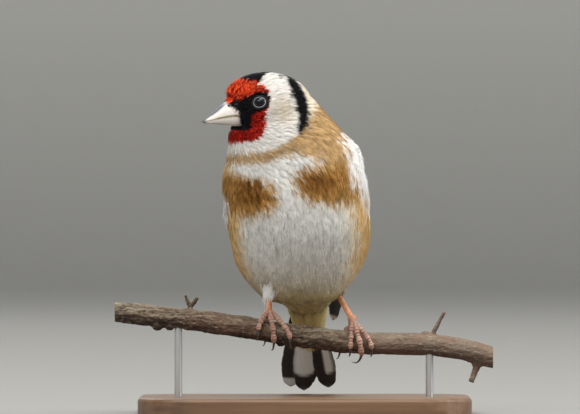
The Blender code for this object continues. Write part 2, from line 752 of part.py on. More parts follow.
def tail(name):
    body = tail_core(name)
    feathers = []
    for side in (-1, 1):
        for k in range(RECTRICES):
            u = k / (RECTRICES - 1)
            length = TAIL_LENGTH - TAIL_FORK * (1 - u) ** FORK_CURVE - (TAIL_UNEVEN if side > 0 else 0.0)
            reach = side * (TAIL_SPREAD[0] + (TAIL_SPREAD[1] - TAIL_SPREAD[0]) * u**SPREAD_CURVE)
            above = TAIL_TOP - TAIL_LAYER * (k + (0.5 if side > 0 else 0.0))
            if side < 0 and k == LOOSE_FEATHER:
                reach, length = LOOSE_REACH, LOOSE_LENGTH
            root = (TAIL_ROOT, reach * ROOT_REACH, above)
            feathers.append(tail_vane(root, (length, reach, above), TAIL_HALF, TAIL_SHAPE))
    for way in (-1, 1):
        for k in range(COVERTS):
            u = 2 * k / (COVERTS - 1) - 1
            thick = read_table(RUMP, [TAIL_ROOT])[0][1]
            tall = way * thick * (COVERT_TALL - COVERT_SLOPE * u * u)
            root = (TAIL_ROOT, u * COVERT_SIDE, tall)
            end = COVERT_END - COVERT_CURVE * u * u
            tip = (end, u * COVERT_TIP_SIDE, way * COVERT_TIP - COVERT_DROP + COVERT_STAGGER * u)
            feathers.append(tail_vane(root, tip, COVERT_HALF, COVERT_SHAPE))
    combine(body, feathers, "UNION")
    root = Vector(TAIL_START) + TAIL_ALONG * (TAIL_CUT + GAP / 2)
    cut_away(body, BIRD @ root, BIRD.to_3x3() @ -TAIL_ALONG)
    return body


# Legs and feet

def thigh(name, key, grow=0.0):
    top, end, wide, narrow = LEGS[key][:4]
    top, end = Vector(top), Vector(end)
    points, radii = [], []
    for share, round_off in THIGH_RINGS:
        points.append(top.lerp(end, share) + (end - top).normalized() * (grow if share == 1.0 else 0.0))
        radii.append((wide + (narrow - wide) * max(share, 0.0)) * round_off + grow)
    points[0] -= (end - top).normalized() * grow
    return tube(name, points, radii, 14)


def shank(name, key, grow=0.0):
    heel, joint = Vector(LEGS[key][4]), Vector(LEGS[key][5])
    way = (joint - heel).normalized()
    last = joint - way * (JOINT_RADIUS + GAP)
    points = [heel - way * grow, heel + way * HEEL_LENGTH, heel.lerp(last, 0.5), last]
    radii = [SHANK_RADIUS * share + grow for share in SHANK_SWELL]
    return tube(name, points, radii, 10)


def round_perch(x, angle, clear):
    """A point clear of the bark by some distance; angle runs from the top of the branch towards the front."""
    height, radius = perch_at(x)
    reach = radius * (1 + BARK_ROUGH) + clear
    a = math.radians(angle)
    return Vector((x, -reach * math.sin(a), height + reach * math.cos(a)))


def toe_path(key, toe):
    reach, end, thick = toe[1:4]
    joint = Vector(LEGS[key][5])
    way = math.copysign(1.0, end)
    arch = TOE_ARCH if way > 0 else HIND_ARCH
    angles = np.linspace(TOE_START * way, end, TOE_STEPS)
    points = [joint]
    for k, angle in enumerate(angles):
        share = (k + 1) / TOE_STEPS
        rise = arch * max(0.0, 1 - abs(angle) / TOE_FLAT) ** ARCH_CURVE
        x = joint.x + reach * math.sin(share * math.pi / 2)
        points.append(round_perch(x, angle, GAP + thick * TOE_CLEAR + rise))
    return points


def toe_body(key, toe):
    thick = toe[3]
    points = toe_path(key, toe)
    radii = [thick * TOE_ROOT]
    for k in range(1, len(points)):
        radii.append(thick * (KNUCKLE if k % 2 else HOLLOW))
    return tube("toe", points, radii, 6)


def foot(name, key):
    body = ball(name, Vector(LEGS[key][5]), JOINT_RADIUS, 10, 7)
    return combine(body, [toe_body(key, toe) for toe in TOES[key]], "UNION")


def claw(name, key, toe):
    reach, end, thick, claw_reach, lift = toe[1:6]
    way = math.copysign(1.0, end)
    start_x = LEGS[key][5][0] + reach
    start = end + way * CLAW_CLEAR
    points, radii = [], []
    for k in range(CLAW_STEPS):
        share = k / (CLAW_STEPS - 1)
        radius = CLAW_ROOT + (CLAW_TIP - CLAW_ROOT) * share
        clear = GAP + thick * TOE_CLEAR * (1 - share) + radius * share * 1.1
        clear += lift * share + CLAW_ARCH * math.sin(math.pi * share)
        x = start_x + claw_reach * share**CLAW_CURVE
        points.append(round_perch(x, start + way * CLAW_SWEEP * share, clear))
        radii.append(radius)
    return tube(name, points, radii, 6)


# Perch and stand

def branch():
    rings = []
    for x in steps(PERCH_LINE[0][0], PERCH_LINE[-1][0], PERCH_STEP):
        height, radius = perch_at(x)
        ring = []
        for k in range(PERCH_POINTS):
            angle = 2 * math.pi * k / PERCH_POINTS
            way = Vector((0.0, math.sin(angle), math.cos(angle)))
            bark = noise.noise(Vector((x * BARK_GRAIN[0], way.y * BARK_GRAIN[1], way.z * BARK_GRAIN[1])))
            swell = 1 + BARK_ROUGH * max(-1.0, min(1.0, bark * 2))
            ring.append(Vector((x, 0.0, height)) + way * radius * swell)
        rings.append(ring)
    return loft("perch", rings)


def perch():
    added = [ball("knob", Vector(knob[:3]), knob[3], 8, 6) for knob in KNOBS]
    for start, end, thick, thin in TWIGS:
        start, end = Vector(start), Vector(end)
        points = [start, start.lerp(end, 0.35), start.lerp(end, 0.7), end]
        added.append(tube("twig", points, [thick, (thick + thin) / 2, thin * 0.95, thin], 8))
    body = combine(branch(), added, "UNION")
    holes = []
    for x in ROD_X:
        height, radius = perch_at(x)
        top = height - radius + ROD_SINK + GAP
        low = height - HOLE_DEPTH
        holes.append(cylinder("hole", (x, 0.0, low), (x, 0.0, top), ROD_RADIUS + GAP, HOLE_SIDES))
    return combine(body, holes, "DIFFERENCE")


def stand_base():
    bm = bmesh.new()
    bmesh.ops.create_cube(bm, size=1.0)
    bmesh.ops.scale(bm, verts=bm.verts, vec=(*BASE_SIZE, BASE_THICK))
    bmesh.ops.translate(bm, verts=bm.verts, vec=(*BASE_CENTRE, BASE_THICK / 2))
    upright = [edge for edge in bm.edges if abs(edge.verts[0].co.z - edge.verts[1].co.z) > 1.0]
    bmesh.ops.bevel(
        bm, geom=upright, offset=BASE_CORNER, segments=8, profile=0.5, affect="EDGES", material=-1
    )
    rim = [edge for edge in bm.edges if min(vert.co.z for vert in edge.verts) > BASE_THICK - 0.01]
    bmesh.ops.bevel(bm, geom=rim, offset=BASE_EDGE, segments=2, profile=0.5, affect="EDGES", material=-1)
    body = mesh_object("stand_base", bm)
    holes = []
    for x in ROD_X:
        low, high = BASE_THICK - ROD_SINK - GAP, BASE_THICK * 2
        holes.append(cylinder("hole", (x, 0.0, low), (x, 0.0, high), ROD_RADIUS + GAP, HOLE_SIDES))
    return combine(body, holes, "DIFFERENCE")


def stand_rod(name, x):
    height, radius = perch_at(x)
    low = BASE_THICK - ROD_SINK
    return cylinder(name, (x, 0.0, low), (x, 0.0, height - radius + ROD_SINK), ROD_RADIUS)


# The whole model

def soft_parts():
    """Head, neck and torso, parted by thin cuts, with hollows for what grows from them."""
    torso = flesh()
    head, neck = copy_of(torso, "head"), copy_of(torso, "neck")
    head_cut = (bird_point(*HEAD_CUT[0]), BIRD.to_3x3() @ Vector(HEAD_CUT[1]).normalized())
    neck_cut = (bird_point(*NECK_CUT[0]), BIRD.to_3x3() @ Vector(NECK_CUT[1]).normalized())
    cut_away(head, head_cut[0] + head_cut[1] * GAP / 2, -head_cut[1])
    cut_away(neck, head_cut[0] - head_cut[1] * GAP / 2, head_cut[1])
    cut_away(neck, neck_cut[0] + neck_cut[1] * GAP / 2, -neck_cut[1])
    cut_away(torso, neck_cut[0] - neck_cut[1] * GAP / 2, neck_cut[1])
    tail_root = BIRD @ (Vector(TAIL_START) + TAIL_ALONG * (TAIL_CUT - GAP / 2))
    cut_away(torso, tail_root, BIRD.to_3x3() @ TAIL_ALONG)
    combine(head, [lid(1), lid(-1)], "UNION")
    sockets = [bill_half("cut", True, GAP), bill_half("cut", False, GAP)]
    for side in (1, -1):
        sockets.append(ball("cut", HEAD_FRAME @ eye_centre(side), EYE_RADIUS + GAP, EYE_SEGMENTS, EYE_RINGS))
    combine(head, sockets, "DIFFERENCE")
    combine(neck, [wing_bed(1), wing_bed(-1)], "DIFFERENCE")
    hollows = [wing_bed(1), wing_bed(-1)]
    for key in LEGS:
        hollows += [thigh("cut", key, GAP), shank("cut", key, GAP)]
    combine(torso, hollows, "DIFFERENCE")
    return head, neck, torso


def main():
    clear_scene()
    model = bpy.data.collections.new("european_goldfinch")
    bpy.context.scene.collection.children.link(model)
    finishes = {name: material(name, *values) for name, values in FINISHES.items()}

    def keep(obj, name, kind):
        finish(obj, name, finishes[kind].copy(), model)

    head, neck, torso = soft_parts()
    keep(head, "head", "face")
    keep(neck, "neck", "collar")
    keep(torso, "torso", "breast")
    upper = combine(bill_half("bill_upper", True), [nostril(1), nostril(-1)], "DIFFERENCE")
    keep(upper, "bill_upper", "bill")
    keep(bill_half("bill_lower", False), "bill_lower", "bill")
    for word, side in (("left", 1), ("right", -1)):
        eye = ball("eye", HEAD_FRAME @ eye_centre(side), EYE_RADIUS, EYE_SEGMENTS, EYE_RINGS)
        keep(eye, "eye_" + word, "eye")
        keep(wing(side, "wing"), "wing_" + word, "wing")
        upper_leg = combine(thigh("thigh", word), [shank("cut", word, GAP)], "DIFFERENCE")
        keep(upper_leg, "thigh_" + word, "breast")
        keep(shank("tarsus", word), "tarsus_" + word, "leg")
        keep(foot("foot", word), "foot_" + word, "leg")
        for toe in TOES[word]:
            keep(claw("claw", word, toe), f"claw_{word}_{toe[0]}", "claw")
    keep(tail("tail"), "tail", "wing")
    keep(perch(), "perch", "bark")
    keep(stand_base(), "stand_base", "wood")
    for word, x in (("left", ROD_X[1]), ("right", ROD_X[0])):
        keep(stand_rod("rod", x), "stand_rod_" + word, "steel")


main()
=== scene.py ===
import math

import bmesh
import bpy
import numpy as np
from mathutils import Matrix, Vector, noise
from mathutils.bvhtree import BVHTree
from mathutils.kdtree import KDTree


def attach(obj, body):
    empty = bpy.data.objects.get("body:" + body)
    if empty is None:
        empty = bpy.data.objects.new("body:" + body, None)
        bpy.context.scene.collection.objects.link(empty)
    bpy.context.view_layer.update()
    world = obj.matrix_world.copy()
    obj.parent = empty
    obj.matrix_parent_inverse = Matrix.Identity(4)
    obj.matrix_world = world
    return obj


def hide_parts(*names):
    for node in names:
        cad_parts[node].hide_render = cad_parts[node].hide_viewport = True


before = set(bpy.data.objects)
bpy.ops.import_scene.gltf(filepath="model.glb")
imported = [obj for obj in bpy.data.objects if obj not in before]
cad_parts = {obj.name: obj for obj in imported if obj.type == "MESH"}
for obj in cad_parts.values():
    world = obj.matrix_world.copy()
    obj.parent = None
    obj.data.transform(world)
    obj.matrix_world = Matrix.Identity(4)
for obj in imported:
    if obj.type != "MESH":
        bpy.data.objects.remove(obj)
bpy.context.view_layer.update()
mm = 0.001  # shapes are made in millimetres and turned into metres when they are kept
print("goldfinch: frame loaded,", len(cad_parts), "nodes")


# Small tools

def readTable(table, places):
    # rows at some places along the first column, by a smooth curve through them
    rows = np.array(sorted(table), dtype=float)
    keys, values = rows[:, 0], rows[:, 1:]
    slopes = np.gradient(values, keys, axis=0)
    places = np.clip(np.atleast_1d(np.asarray(places, dtype=float)), keys[0], keys[-1])
    i = np.clip(np.searchsorted(keys, places) - 1, 0, len(keys) - 2)
    span = (keys[i + 1] - keys[i])[:, None]
    u = (places[:, None] - keys[i][:, None]) / span
    start = (2 * u**3 - 3 * u**2 + 1) * values[i] + (u**3 - 2 * u**2 + u) * span * slopes[i]
    end = (3 * u**2 - 2 * u**3) * values[i + 1] + (u**3 - u**2) * span * slopes[i + 1]
    return start + end


def readOne(table, places):
    return readTable(table, places)[:, 0]


def ease(value, low, high):
    t = np.clip((value - low) / (high - low), 0.0, 1.0)
    return t * t * (3 - 2 * t)


def unit(vectors):
    return vectors / np.maximum(np.linalg.norm(vectors, axis=-1, keepdims=True), 1e-9)


def within(x, y, outline, low, high):
    # 0 to 1 over the edge of a closed outline, where low and high are distances inside it
    corners = np.array(outline, dtype=float)
    nearest = np.full(x.shape, 1e9)
    inside = np.zeros(x.shape, bool)
    for (ax, ay), (bx, by) in zip(corners, np.roll(corners, -1, axis=0)):
        ex, ey = bx - ax, by - ay
        t = np.clip(((x - ax) * ex + (y - ay) * ey) / (ex * ex + ey * ey), 0.0, 1.0)
        nearest = np.minimum(nearest, np.hypot(x - ax - t * ex, y - ay - t * ey))
        crosses = (ay > y) != (by > y)
        inside ^= crosses & (x < ax + (y - ay) * ex / (ey if ey else 1e-9))
    return ease(np.where(inside, nearest, -nearest), low, high)


class Paint:
    # colours of many places, with one dye laid over another by its weights
    def __init__(self, dyes, first, count):
        self.dyes = dyes
        self.colours = np.tile(np.array(dyes[first]), (count, 1))

    def lay(self, name, weight):
        over = np.array(self.dyes[name])
        self.colours = self.colours + (over - self.colours) * np.clip(weight, 0, 1)[:, None]


def closedEnds(u):
    # 0 at the first and the last ring of a tube, which closes it there, and 1 between them
    return np.where((u < 0.001) | (u > 0.999), 0.0, 1.0)


def linked(name, data):
    made = bpy.data.objects.new(name, data)
    bpy.context.scene.collection.objects.link(made)
    return made


def newObject(name, bm, outward=False):
    if outward:
        bmesh.ops.recalc_face_normals(bm, faces=bm.faces)
    mesh = bpy.data.meshes.new(name)
    bm.to_mesh(mesh)
    bm.free()
    return linked(name, mesh)


def wrapGrid(bm, along, around, place):
    # a sheet laid by place(u, v), with u along it and v across or round it, merged where it meets itself
    made = bmesh.ops.create_grid(bm, x_segments=along, y_segments=around, size=1.0)["verts"]
    spread = (np.array([vert.co for vert in made])[:, :2] + 1.0) / 2.0
    for vert, point in zip(made, place(spread[:, 0], spread[:, 1])):
        vert.co = point
    bmesh.ops.remove_doubles(bm, verts=made, dist=0.002)


def applyModifiers(made):
    graph = bpy.context.evaluated_depsgraph_get()
    mesh = bpy.data.meshes.new_from_object(made.evaluated_get(graph))
    made.modifiers.clear()
    made.data = mesh
    return made


def softened(made, rounds):
    made.modifiers.new("soften", "SMOOTH").iterations = rounds
    return applyModifiers(made)


def remeshed(made, voxel, rounds):
    remesh = made.modifiers.new("one surface", "REMESH")
    remesh.mode = "VOXEL"
    remesh.voxel_size = voxel
    return softened(made, rounds)


def readAll(items, key, width, kind=np.float32):
    values = np.zeros(len(items) * width, kind)
    items.foreach_get(key, values)
    return values.reshape(-1, width)


def meshPoints(mesh):
    return readAll(mesh.vertices, "co", 3).astype(float)


def setPoints(mesh, points):
    mesh.vertices.foreach_set("co", np.asarray(points, np.float32).ravel())
    mesh.update()


def meshNormals(mesh):
    return readAll(mesh.vertex_normals, "vector", 3).astype(float)


def paintVertices(mesh, colours, name="plumage"):
    layer = mesh.color_attributes.new(name, "FLOAT_COLOR", "POINT")
    full = np.ones((len(colours), 4), np.float32)
    full[:, :3] = np.clip(colours, 0.0, 1.0)
    layer.data.foreach_set("color", full.ravel())


def copyNodes(names):
    # the solids' own surfaces in millimetres, merged, as a start for finer ones
    bm = bmesh.new()
    for name in names:
        bm.from_mesh(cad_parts[name].data)
    bm.transform(Matrix.Scale(1 / mm, 4))
    bmesh.ops.remove_doubles(bm, verts=bm.verts, dist=0.001)
    bm.normal_update()
    return bm


def keepPiece(made, finish, stands=(), flat=False):
    # millimetres to metres, then material, body and what it stands for
    made.data.transform(Matrix.Scale(mm, 4))
    made.data.materials.clear()
    made.data.materials.append(finish)
    if not flat:
        made.data.shade_smooth()
    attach(made, "root")
    if stands:
        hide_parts(*stands)
    return made


# Shader maths

class Wire:
    def __init__(self, sheet, socket):
        self.sheet, self.socket = sheet, socket

    def maths(self, operation, first, second):
        return self.sheet.node("ShaderNodeMath", {"operation": operation}, {0: first, 1: second})

    def __add__(self, other):
        return self.maths("ADD", self, other)

    def __sub__(self, other):
        return self.maths("SUBTRACT", self, other)

    def __rsub__(self, other):
        return self.maths("SUBTRACT", other, self)

    def __mul__(self, other):
        return self.maths("MULTIPLY", self, other)


class Finish:
    # a material, with its Principled shader's sockets fed by numbers, colours or wires
    def __init__(self, name, **fixed):
        self.material = bpy.data.materials.new(name)
        self.material.use_nodes = True
        self.tree = self.material.node_tree
        self.shader = self.tree.nodes["Principled BSDF"]
        for socket, value in fixed.items():
            self.set(socket.replace("_", " "), value)

    def feed(self, socket, value):
        if isinstance(value, Wire):
            self.tree.links.new(value.socket, socket)
        else:
            socket.default_value = (*value, 1.0) if socket.type == "RGBA" else value

    def set(self, socket, value):
        self.feed(self.shader.inputs[socket], value)

    def node(self, kind, settings, values, out=0):
        made = self.tree.nodes.new(kind)
        for key, value in settings.items():
            setattr(made, key, value)
        for key, value in values.items():
            self.feed(made.inputs[key], value)
        return Wire(self, made.outputs[out])

    def place(self, scale=(1.0, 1.0, 1.0)):
        # Object coordinates, stretched
        where = self.node("ShaderNodeTexCoord", {}, {}, 3)
        return self.node("ShaderNodeMapping", {}, {"Vector": where, "Scale": scale})

    def cloud(self, where, scale, detail=4.0, rough=0.55):
        values = {"Vector": where, "Scale": scale, "Detail": detail, "Roughness": rough}
        return self.node("ShaderNodeTexNoise", {}, values)

    def attribute(self, name, out=0):
        return self.node("ShaderNodeAttribute", {"attribute_name": name}, {}, out)

    def parts(self, name):
        # the three channels of a painted layer
        split = self.node("ShaderNodeSeparateColor", {}, {"Color": self.attribute(name)})
        return [Wire(self, out) for out in split.socket.node.outputs]

    def ramp(self, factor, *stops):
        made = self.node("ShaderNodeValToRGB", {}, {"Fac": factor})
        elements = made.socket.node.color_ramp.elements
        for place, _ in stops[2:]:
            elements.new(place)
        for stop, (place, colour) in zip(elements, stops):
            stop.position = place
            stop.color = (*colour, 1.0)
        return made

    def mixed(self, factor, first, second, blend="MIX"):
        settings = {"data_type": "RGBA", "blend_type": blend}
        return self.node("ShaderNodeMix", settings, {0: factor, 6: first, 7: second}, 2)

    def stained(self, colour, factor, stain):
        return self.mixed(factor, colour, stain, "MULTIPLY")

    def done(self, colour, grain, strength, depth, rough=None):
        # the grain gives the bump, and the roughness too where that has a span and a least value
        self.set("Base Color", colour)
        if rough:
            self.set("Roughness", grain * rough[0] + rough[1])
        values = {"Height": grain, "Strength": strength, "Distance": depth}
        self.set("Normal", self.node("ShaderNodeBump", {}, values))
        return self.material


# Frames of the bird and its head, as the solids have them

birdPose = {"yaw": -6.0, "headYaw": -72.0, "headPitch": 8.0, "headMiddle": (-8.8, -11.5, 94.7)}


def turnZ(degrees):
    return np.array(Matrix.Rotation(math.radians(degrees), 3, "Z"))


def headRows():
    pitch = math.radians(birdPose["headPitch"])
    turn = turnZ(birdPose["yaw"] + birdPose["headYaw"])
    forward = turn @ np.array([0.0, -math.cos(pitch), -math.sin(pitch)])
    left = turn @ np.array([1.0, 0.0, 0.0])
    up = turn @ np.array([0.0, -math.sin(pitch), math.cos(pitch)])
    return np.array([forward, left, up])


birdAxes = turnZ(birdPose["yaw"])
headAxes = headRows()
headMiddle = birdAxes @ np.array(birdPose["headMiddle"])


def toHead(points):
    return (points - headMiddle) @ headAxes.T


def fromHead(points):
    return np.asarray(points, dtype=float) @ headAxes + headMiddle


def slopeAxes(slope):
    # along and above a line that falls to the back, in the bird's frame
    fall, level = math.sin(slope), math.cos(slope)
    return np.array([0.0, level, -fall]), np.array([0.0, fall, level])


def toBird(points):
    return points @ birdAxes


def fromBird(points):
    return np.asarray(points, dtype=float) @ birdAxes.T


# Markings of the plumage, in linear colours, with painted light and shade among them

dye = {
    "belly": (0.70, 0.69, 0.65),
    "white": (0.735, 0.71, 0.665),
    # painted light: a lighter copy of the white, for white feathers as they look when well lit
    "litWhite": (0.93, 0.92, 0.90),
    "ear": (0.65, 0.53, 0.38),
    "cream": (0.80, 0.69, 0.50),
    "lightBrown": (0.44, 0.28, 0.127),
    "golden": (0.44, 0.25, 0.08),
    "brown": (0.33, 0.165, 0.045),
    "core": (0.15, 0.06, 0.013),
    "flank": (0.66, 0.40, 0.12),
    # painted shade: the vent and lower belly in a darker, olive colour, as they look in shade under the body
    "shadedVent": (0.51, 0.44, 0.21),
    "mantle": (0.20, 0.115, 0.055),
    "black": (0.005, 0.005, 0.006),
    "red": (0.58, 0.020, 0.010),
    # painted light and shade on the red: the lit red for the top of the head, the shaded red for the cheeks
    # and chin
    "redLit": (1.05, 0.080, 0.018),
    "redShaded": (0.44, 0.015, 0.006),
    # the red feathers' dark roots: partly their own dark bases and partly painted shade in the gaps between
    # their tips
    "redRootShade": (0.06, 0.002, 0.002),
}

headMarks = {  # outlines as (forward, up) from the middle of the head, seen from its side
    "mask": ((18.0, 14.5), (7.2, 14.5), (6.8, 10.4), (4.6, 10.1), (3.0, 9.4), (1.6, 8.2), (0.5, 6.3),
             (0.0, 4.2), (0.9, 2.4), (1.6, 0.4), (2.5, -1.8), (2.9, -4.6), (3.8, -6.9), (5.4, -8.4),
             (8.2, -9.2), (12.2, -9.2), (18.0, -9.0)),
    "lores": ((18.0, 4.4), (12.6, 4.6), (9.5, 4.8), (6.6, 5.2), (4.4, 6.2), (2.1, 6.1), (0.3, 5.0),
              (0.0, 3.7), (0.7, 1.8), (1.8, 0.6), (3.7, 0.2), (5.4, -0.3), (6.6, -1.2), (6.9, -3.0),
              (7.1, -4.8), (8.1, -5.7), (10.5, -5.2), (13.4, -4.4), (18.0, -4.4)),
    "band": ((-6.0, 15.0), (-6.8, 8.6), (-6.6, 3.9), (-7.5, 0.6), (-7.7, -2.6), (-7.0, -5.6),
             (-6.0, -8.4), (-7.2, -9.6), (-9.2, -7.6), (-10.9, -4.6), (-11.6, -2.0), (-11.5, 1.6),
             (-10.5, 5.5), (-10.0, 9.0), (-10.4, 15.0)),
    # ovals: forward, up, half length, half height
    "spot": (-5.1, 9.75, 1.2, 0.55),
    "ear": (-3.2, -0.7, 5.0, 5.8),
    # lines: (height, how far forward the feathers come at the bill's root)
    "billEdge": ((-4.5, 8.7), (-2.8, 8.8), (-0.45, 9.1), (1.1, 9.5), (2.5, 10.7), (4.6, 11.7)),
    # (forward, half width of the black along the crown)
    "crown": ((-9.0, 2.2), (-5.0, 1.6), (-2.0, 1.9), (-0.5, 2.8), (1.0, 4.8), (2.6, 6.0), (4.6, 5.0),
              (6.7, 3.4), (7.4, 2.8), (8.0, 0.0)),
    # (forward, height of the lower edge of the white)
    "whiteEdge": ((-16.0, 0.0), (-12.5, -2.5), (-11.0, -5.0), (-9.0, -7.6), (-7.5, -8.6), (-5.6, -9.2),
                  (-2.9, -10.5), (0.7, -11.7), (4.0, -12.4), (8.0, -12.5), (12.0, -12.4), (17.0, -12.2)),
}
bodyMarks = {  # outlines as (left, height) in the bird's own frame, seen from the front
    "leftPatch": ((-40.0, 76.5), (-20.0, 74.2), (-16.5, 73.3), (-11.5, 72.4), (-6.8, 71.5), (-5.0, 69.2),
                  (-4.8, 65.9), (-7.0, 62.0), (-13.6, 60.4), (-19.9, 61.6), (-40.0, 60.0)),
    "leftCore": ((-16.6, 72.2), (-12.5, 72.8), (-8.6, 71.4), (-7.9, 66.4), (-9.8, 63.4), (-14.6, 63.4),
                 (-17.6, 67.0)),
    "rightPatch": ((0.6, 73.0), (1.4, 70.9), (3.2, 67.6), (5.9, 64.9), (11.3, 63.9), (17.4, 64.8),
                   (20.0, 66.5), (19.0, 76.0), (15.0, 77.0), (11.0, 76.5), (6.5, 75.6), (3.0, 74.8)),
    "rightCore": ((2.0, 74.0), (6.5, 75.2), (12.0, 74.8), (14.8, 72.6), (14.0, 69.6), (10.4, 67.6),
                  (5.2, 68.2), (2.6, 70.6)),
    "leftSide": ((16.0, 92.0), (15.4, 86.0), (17.3, 80.5), (17.6, 75.5), (18.6, 71.0), (20.6, 67.5),
                 (22.2, 63.0), (22.9, 58.0), (40.0, 57.0), (40.0, 92.0)),
    "rightTuft": ((-40.0, 67.0), (-22.6, 67.0), (-21.6, 64.0), (-21.2, 58.0), (-40.0, 57.0)),
    "rightNeck": ((3.0, 81.0), (6.0, 79.6), (9.4, 77.0), (6.0, 73.5), (12.0, 70.0), (40.0, 66.0),
                  (40.0, 100.0), (-6.0, 100.0), (-1.0, 88.0)),
    "collar": ((-40.0, 81.5), (-22.0, 81.0), (-10.0, 81.4), (-4.0, 83.2), (0.0, 86.0), (3.0, 90.0),
               (9.0, 90.0), (8.0, 79.0), (2.4, 80.2), (-2.6, 79.6), (-8.0, 77.4), (-14.0, 77.2),
               (-20.0, 77.2), (-22.6, 76.4), (-40.0, 72.0)),
    # (height, left place of the belly's edge)
    "leftEdge": ((34.0, -10.0), (40.0, -15.0), (46.0, -17.2), (54.0, -18.4), (62.0, -17.4), (66.0, -16.4),
                 (70.0, -18.5), (76.0, -22.0), (82.0, -22.5)),
    "rightEdge": ((34.0, 9.0), (38.0, 13.6), (45.0, 17.8), (54.0, 19.6), (62.0, 18.6), (69.0, 16.6)),
    # (height, middle's left place, middle's back place)
    "middle": ((34.0, 0.0, 10.0), (41.5, -0.8, 6.4), (51.0, -0.1, 1.6), (57.0, 0.0, -0.7), (63.5, -0.5, -2.5),
               (70.0, -0.8, -4.0), (82.0, -1.0, -6.4), (92.0, -4.7, -9.0), (97.5, -5.6, -9.7)),
}


def bodyColours(places):
    x, y, z = toBird(places).T
    middleX, middleY = readTable(bodyMarks["middle"], z).T
    side = np.abs(np.degrees(np.arctan2(x - middleX, middleY - y)))  # 0 in front, 180 behind
    front = 1 - ease(side, 66.0, 92.0)

    def marked(name, low, high):
        return within(x, z, bodyMarks[name], low, high)

    paint = Paint(dye, "belly", len(x))
    # painted shade: the lower belly and the vent laid darker and olive towards the bottom
    paint.lay("shadedVent", (1 - ease(z, 33.0, 48.0)) * 0.5)
    paint.lay("shadedVent", (1 - ease(z, 35.0, 40.0)) * 0.85)
    leftEdge, rightEdge = (readOne(bodyMarks[name], z) for name in ("leftEdge", "rightEdge"))
    beyond = np.where(x < 0, leftEdge - x, x - rightEdge)
    paint.lay("cream", ease(beyond, -5.0, -1.0) * ease(z, 38.0, 46.0) * 0.7)
    paint.lay("flank", ease(beyond, -2.2, 1.6) * ease(z, 34.0, 44.0) * 0.9)
    paint.lay("flank", (1 - front) * ease(z, 36.0, 50.0) * 0.8)
    paint.lay("lightBrown", marked("collar", -1.1, 1.5) * 0.95)
    paint.lay("lightBrown", marked("rightNeck", -1.6, 2.2) * (x > -8))
    for hand in ("left", "right"):
        paint.lay("golden", marked(hand + "Patch", -2.3, 1.5) * front)
        paint.lay("brown", marked(hand + "Patch", -0.3, 3.4) * front)
        paint.lay("core", marked(hand + "Core", -1.4, 2.0) * front * 0.85)
    paint.lay("brown", ease(z, 56.0, 66.0) * ease(side, 70.0, 100.0) * 0.8)
    # painted light: the white tufts at the sides are laid in the lighter, lit copy of the white
    for name in ("leftSide", "rightTuft"):
        paint.lay("litWhite", marked(name, -1.2, 1.0) * (1 - ease(side, 100.0, 116.0)) * 0.95)
    back = ease(side, 98.0, 128.0)
    paint.lay("mantle", back * ease(z, 52.0, 62.0) * (1 - 0.75 * ease(z, 86.0, 96.0)))
    over = (toBird(places) - np.array(tailLine["start"])) @ tailAbove
    paint.lay("cream", back * (1 - ease(z, 46.0, 54.0)) * ease(over, -1.5, 1.0) * 0.8)
    return paint.colours


def headColours(places):
    forward, side, up = toHead(places).T
    side = np.abs(side)

    def marked(name, low, high):
        return within(forward, up, headMarks[name], low, high)

    def oval(name, low, high):
        middleForward, middleUp, long_, tall = headMarks[name]
        return 1 - ease(np.hypot((forward - middleForward) / long_, (up - middleUp) / tall), low, high)

    paint = Paint(dye, "white", len(side))
    paint.lay("ear", oval("ear", 0.15, 1.15) * ease(side, 4.0, 7.0) * 0.6)
    paint.lay("cream", ease(-forward, 9.5, 12.5) * 0.75)
    paint.lay("black", marked("band", -0.25, 0.25))
    paint.lay("black", oval("spot", 0.6, 1.1) * 0.9)
    crown = ease(readOne(headMarks["crown"], forward) - side, -0.25, 0.3) * ease(up, 5.5, 6.5)
    paint.lay("black", crown * (forward < 8.0) * (forward > -10.0))
    mask = marked("mask", -0.2, 0.25)
    paint.lay("red", mask)
    paint.lay("black", marked("lores", -0.6, 0.3) * mask)
    return paint.colours


def plumageColours(places):
    forward, _, up = toHead(places).T
    edge = readOne(headMarks["whiteEdge"], forward)
    soft = 0.5 + 0.9 * ease(np.abs(forward), 6.0, 12.0)
    onHead = ease(up - edge, -soft, soft)[:, None]
    return bodyColours(places) * (1 - onHead) + headColours(places) * onHead


# Skin under the feathers: the flesh nodes as one surface, sunk by the depth of the coat

skinShape = {
    "nodes": ("head", "neck", "torso", "thigh_left", "thigh_right"),
    "swell": 0.3,  # outwards before the remesh, so that thin parts stay
    "voxel": 0.6,
    "softening": 10,
    # along the tail, half width, half height
    "rump": ((10.0, 9.4, 7.6), (14.0, 7.4, 6.4), (20.0, 5.2, 4.4), (27.0, 4.0, 2.9), (33.0, 3.4, 1.5)),
    "coverts": ((14.0, 7.4, 6.0), (20.0, 5.4, 4.4), (27.0, 4.2, 3.0), (34.0, 3.6, 2.1), (40.0, 3.4, 1.6)),
}
coatTable = (  # distance from the bill's root, then depth, length, half width and spacing of the feathers
    (2.0, 0.32, 1.7, 0.28, 0.34),
    (6.0, 0.4, 2.3, 0.32, 0.38),
    (10.0, 0.6, 2.7, 0.42, 0.43),
    (16.0, 0.65, 3.3, 0.58, 0.51),
    (22.0, 0.7, 4.2, 0.85, 0.62),
    (30.0, 0.7, 5.8, 1.15, 0.77),
    (40.0, 0.7, 7.2, 1.4, 0.88),
    (100.0, 0.7, 8.2, 1.5, 0.94),
)
billRoot = fromHead((9.5, 0.0, 0.4))
tailLine = {"start": (0.0, 13.0, 46.0), "slope": math.radians(44.5), "lean": -0.012}
tailAlong, tailAbove = slopeAxes(tailLine["slope"])
eyePlace = {"forward": 3.5, "side": 6.8, "up": 2.6, "radius": 2.1, "turn": 24.0, "lift": 9.0, "sink": 0.5}


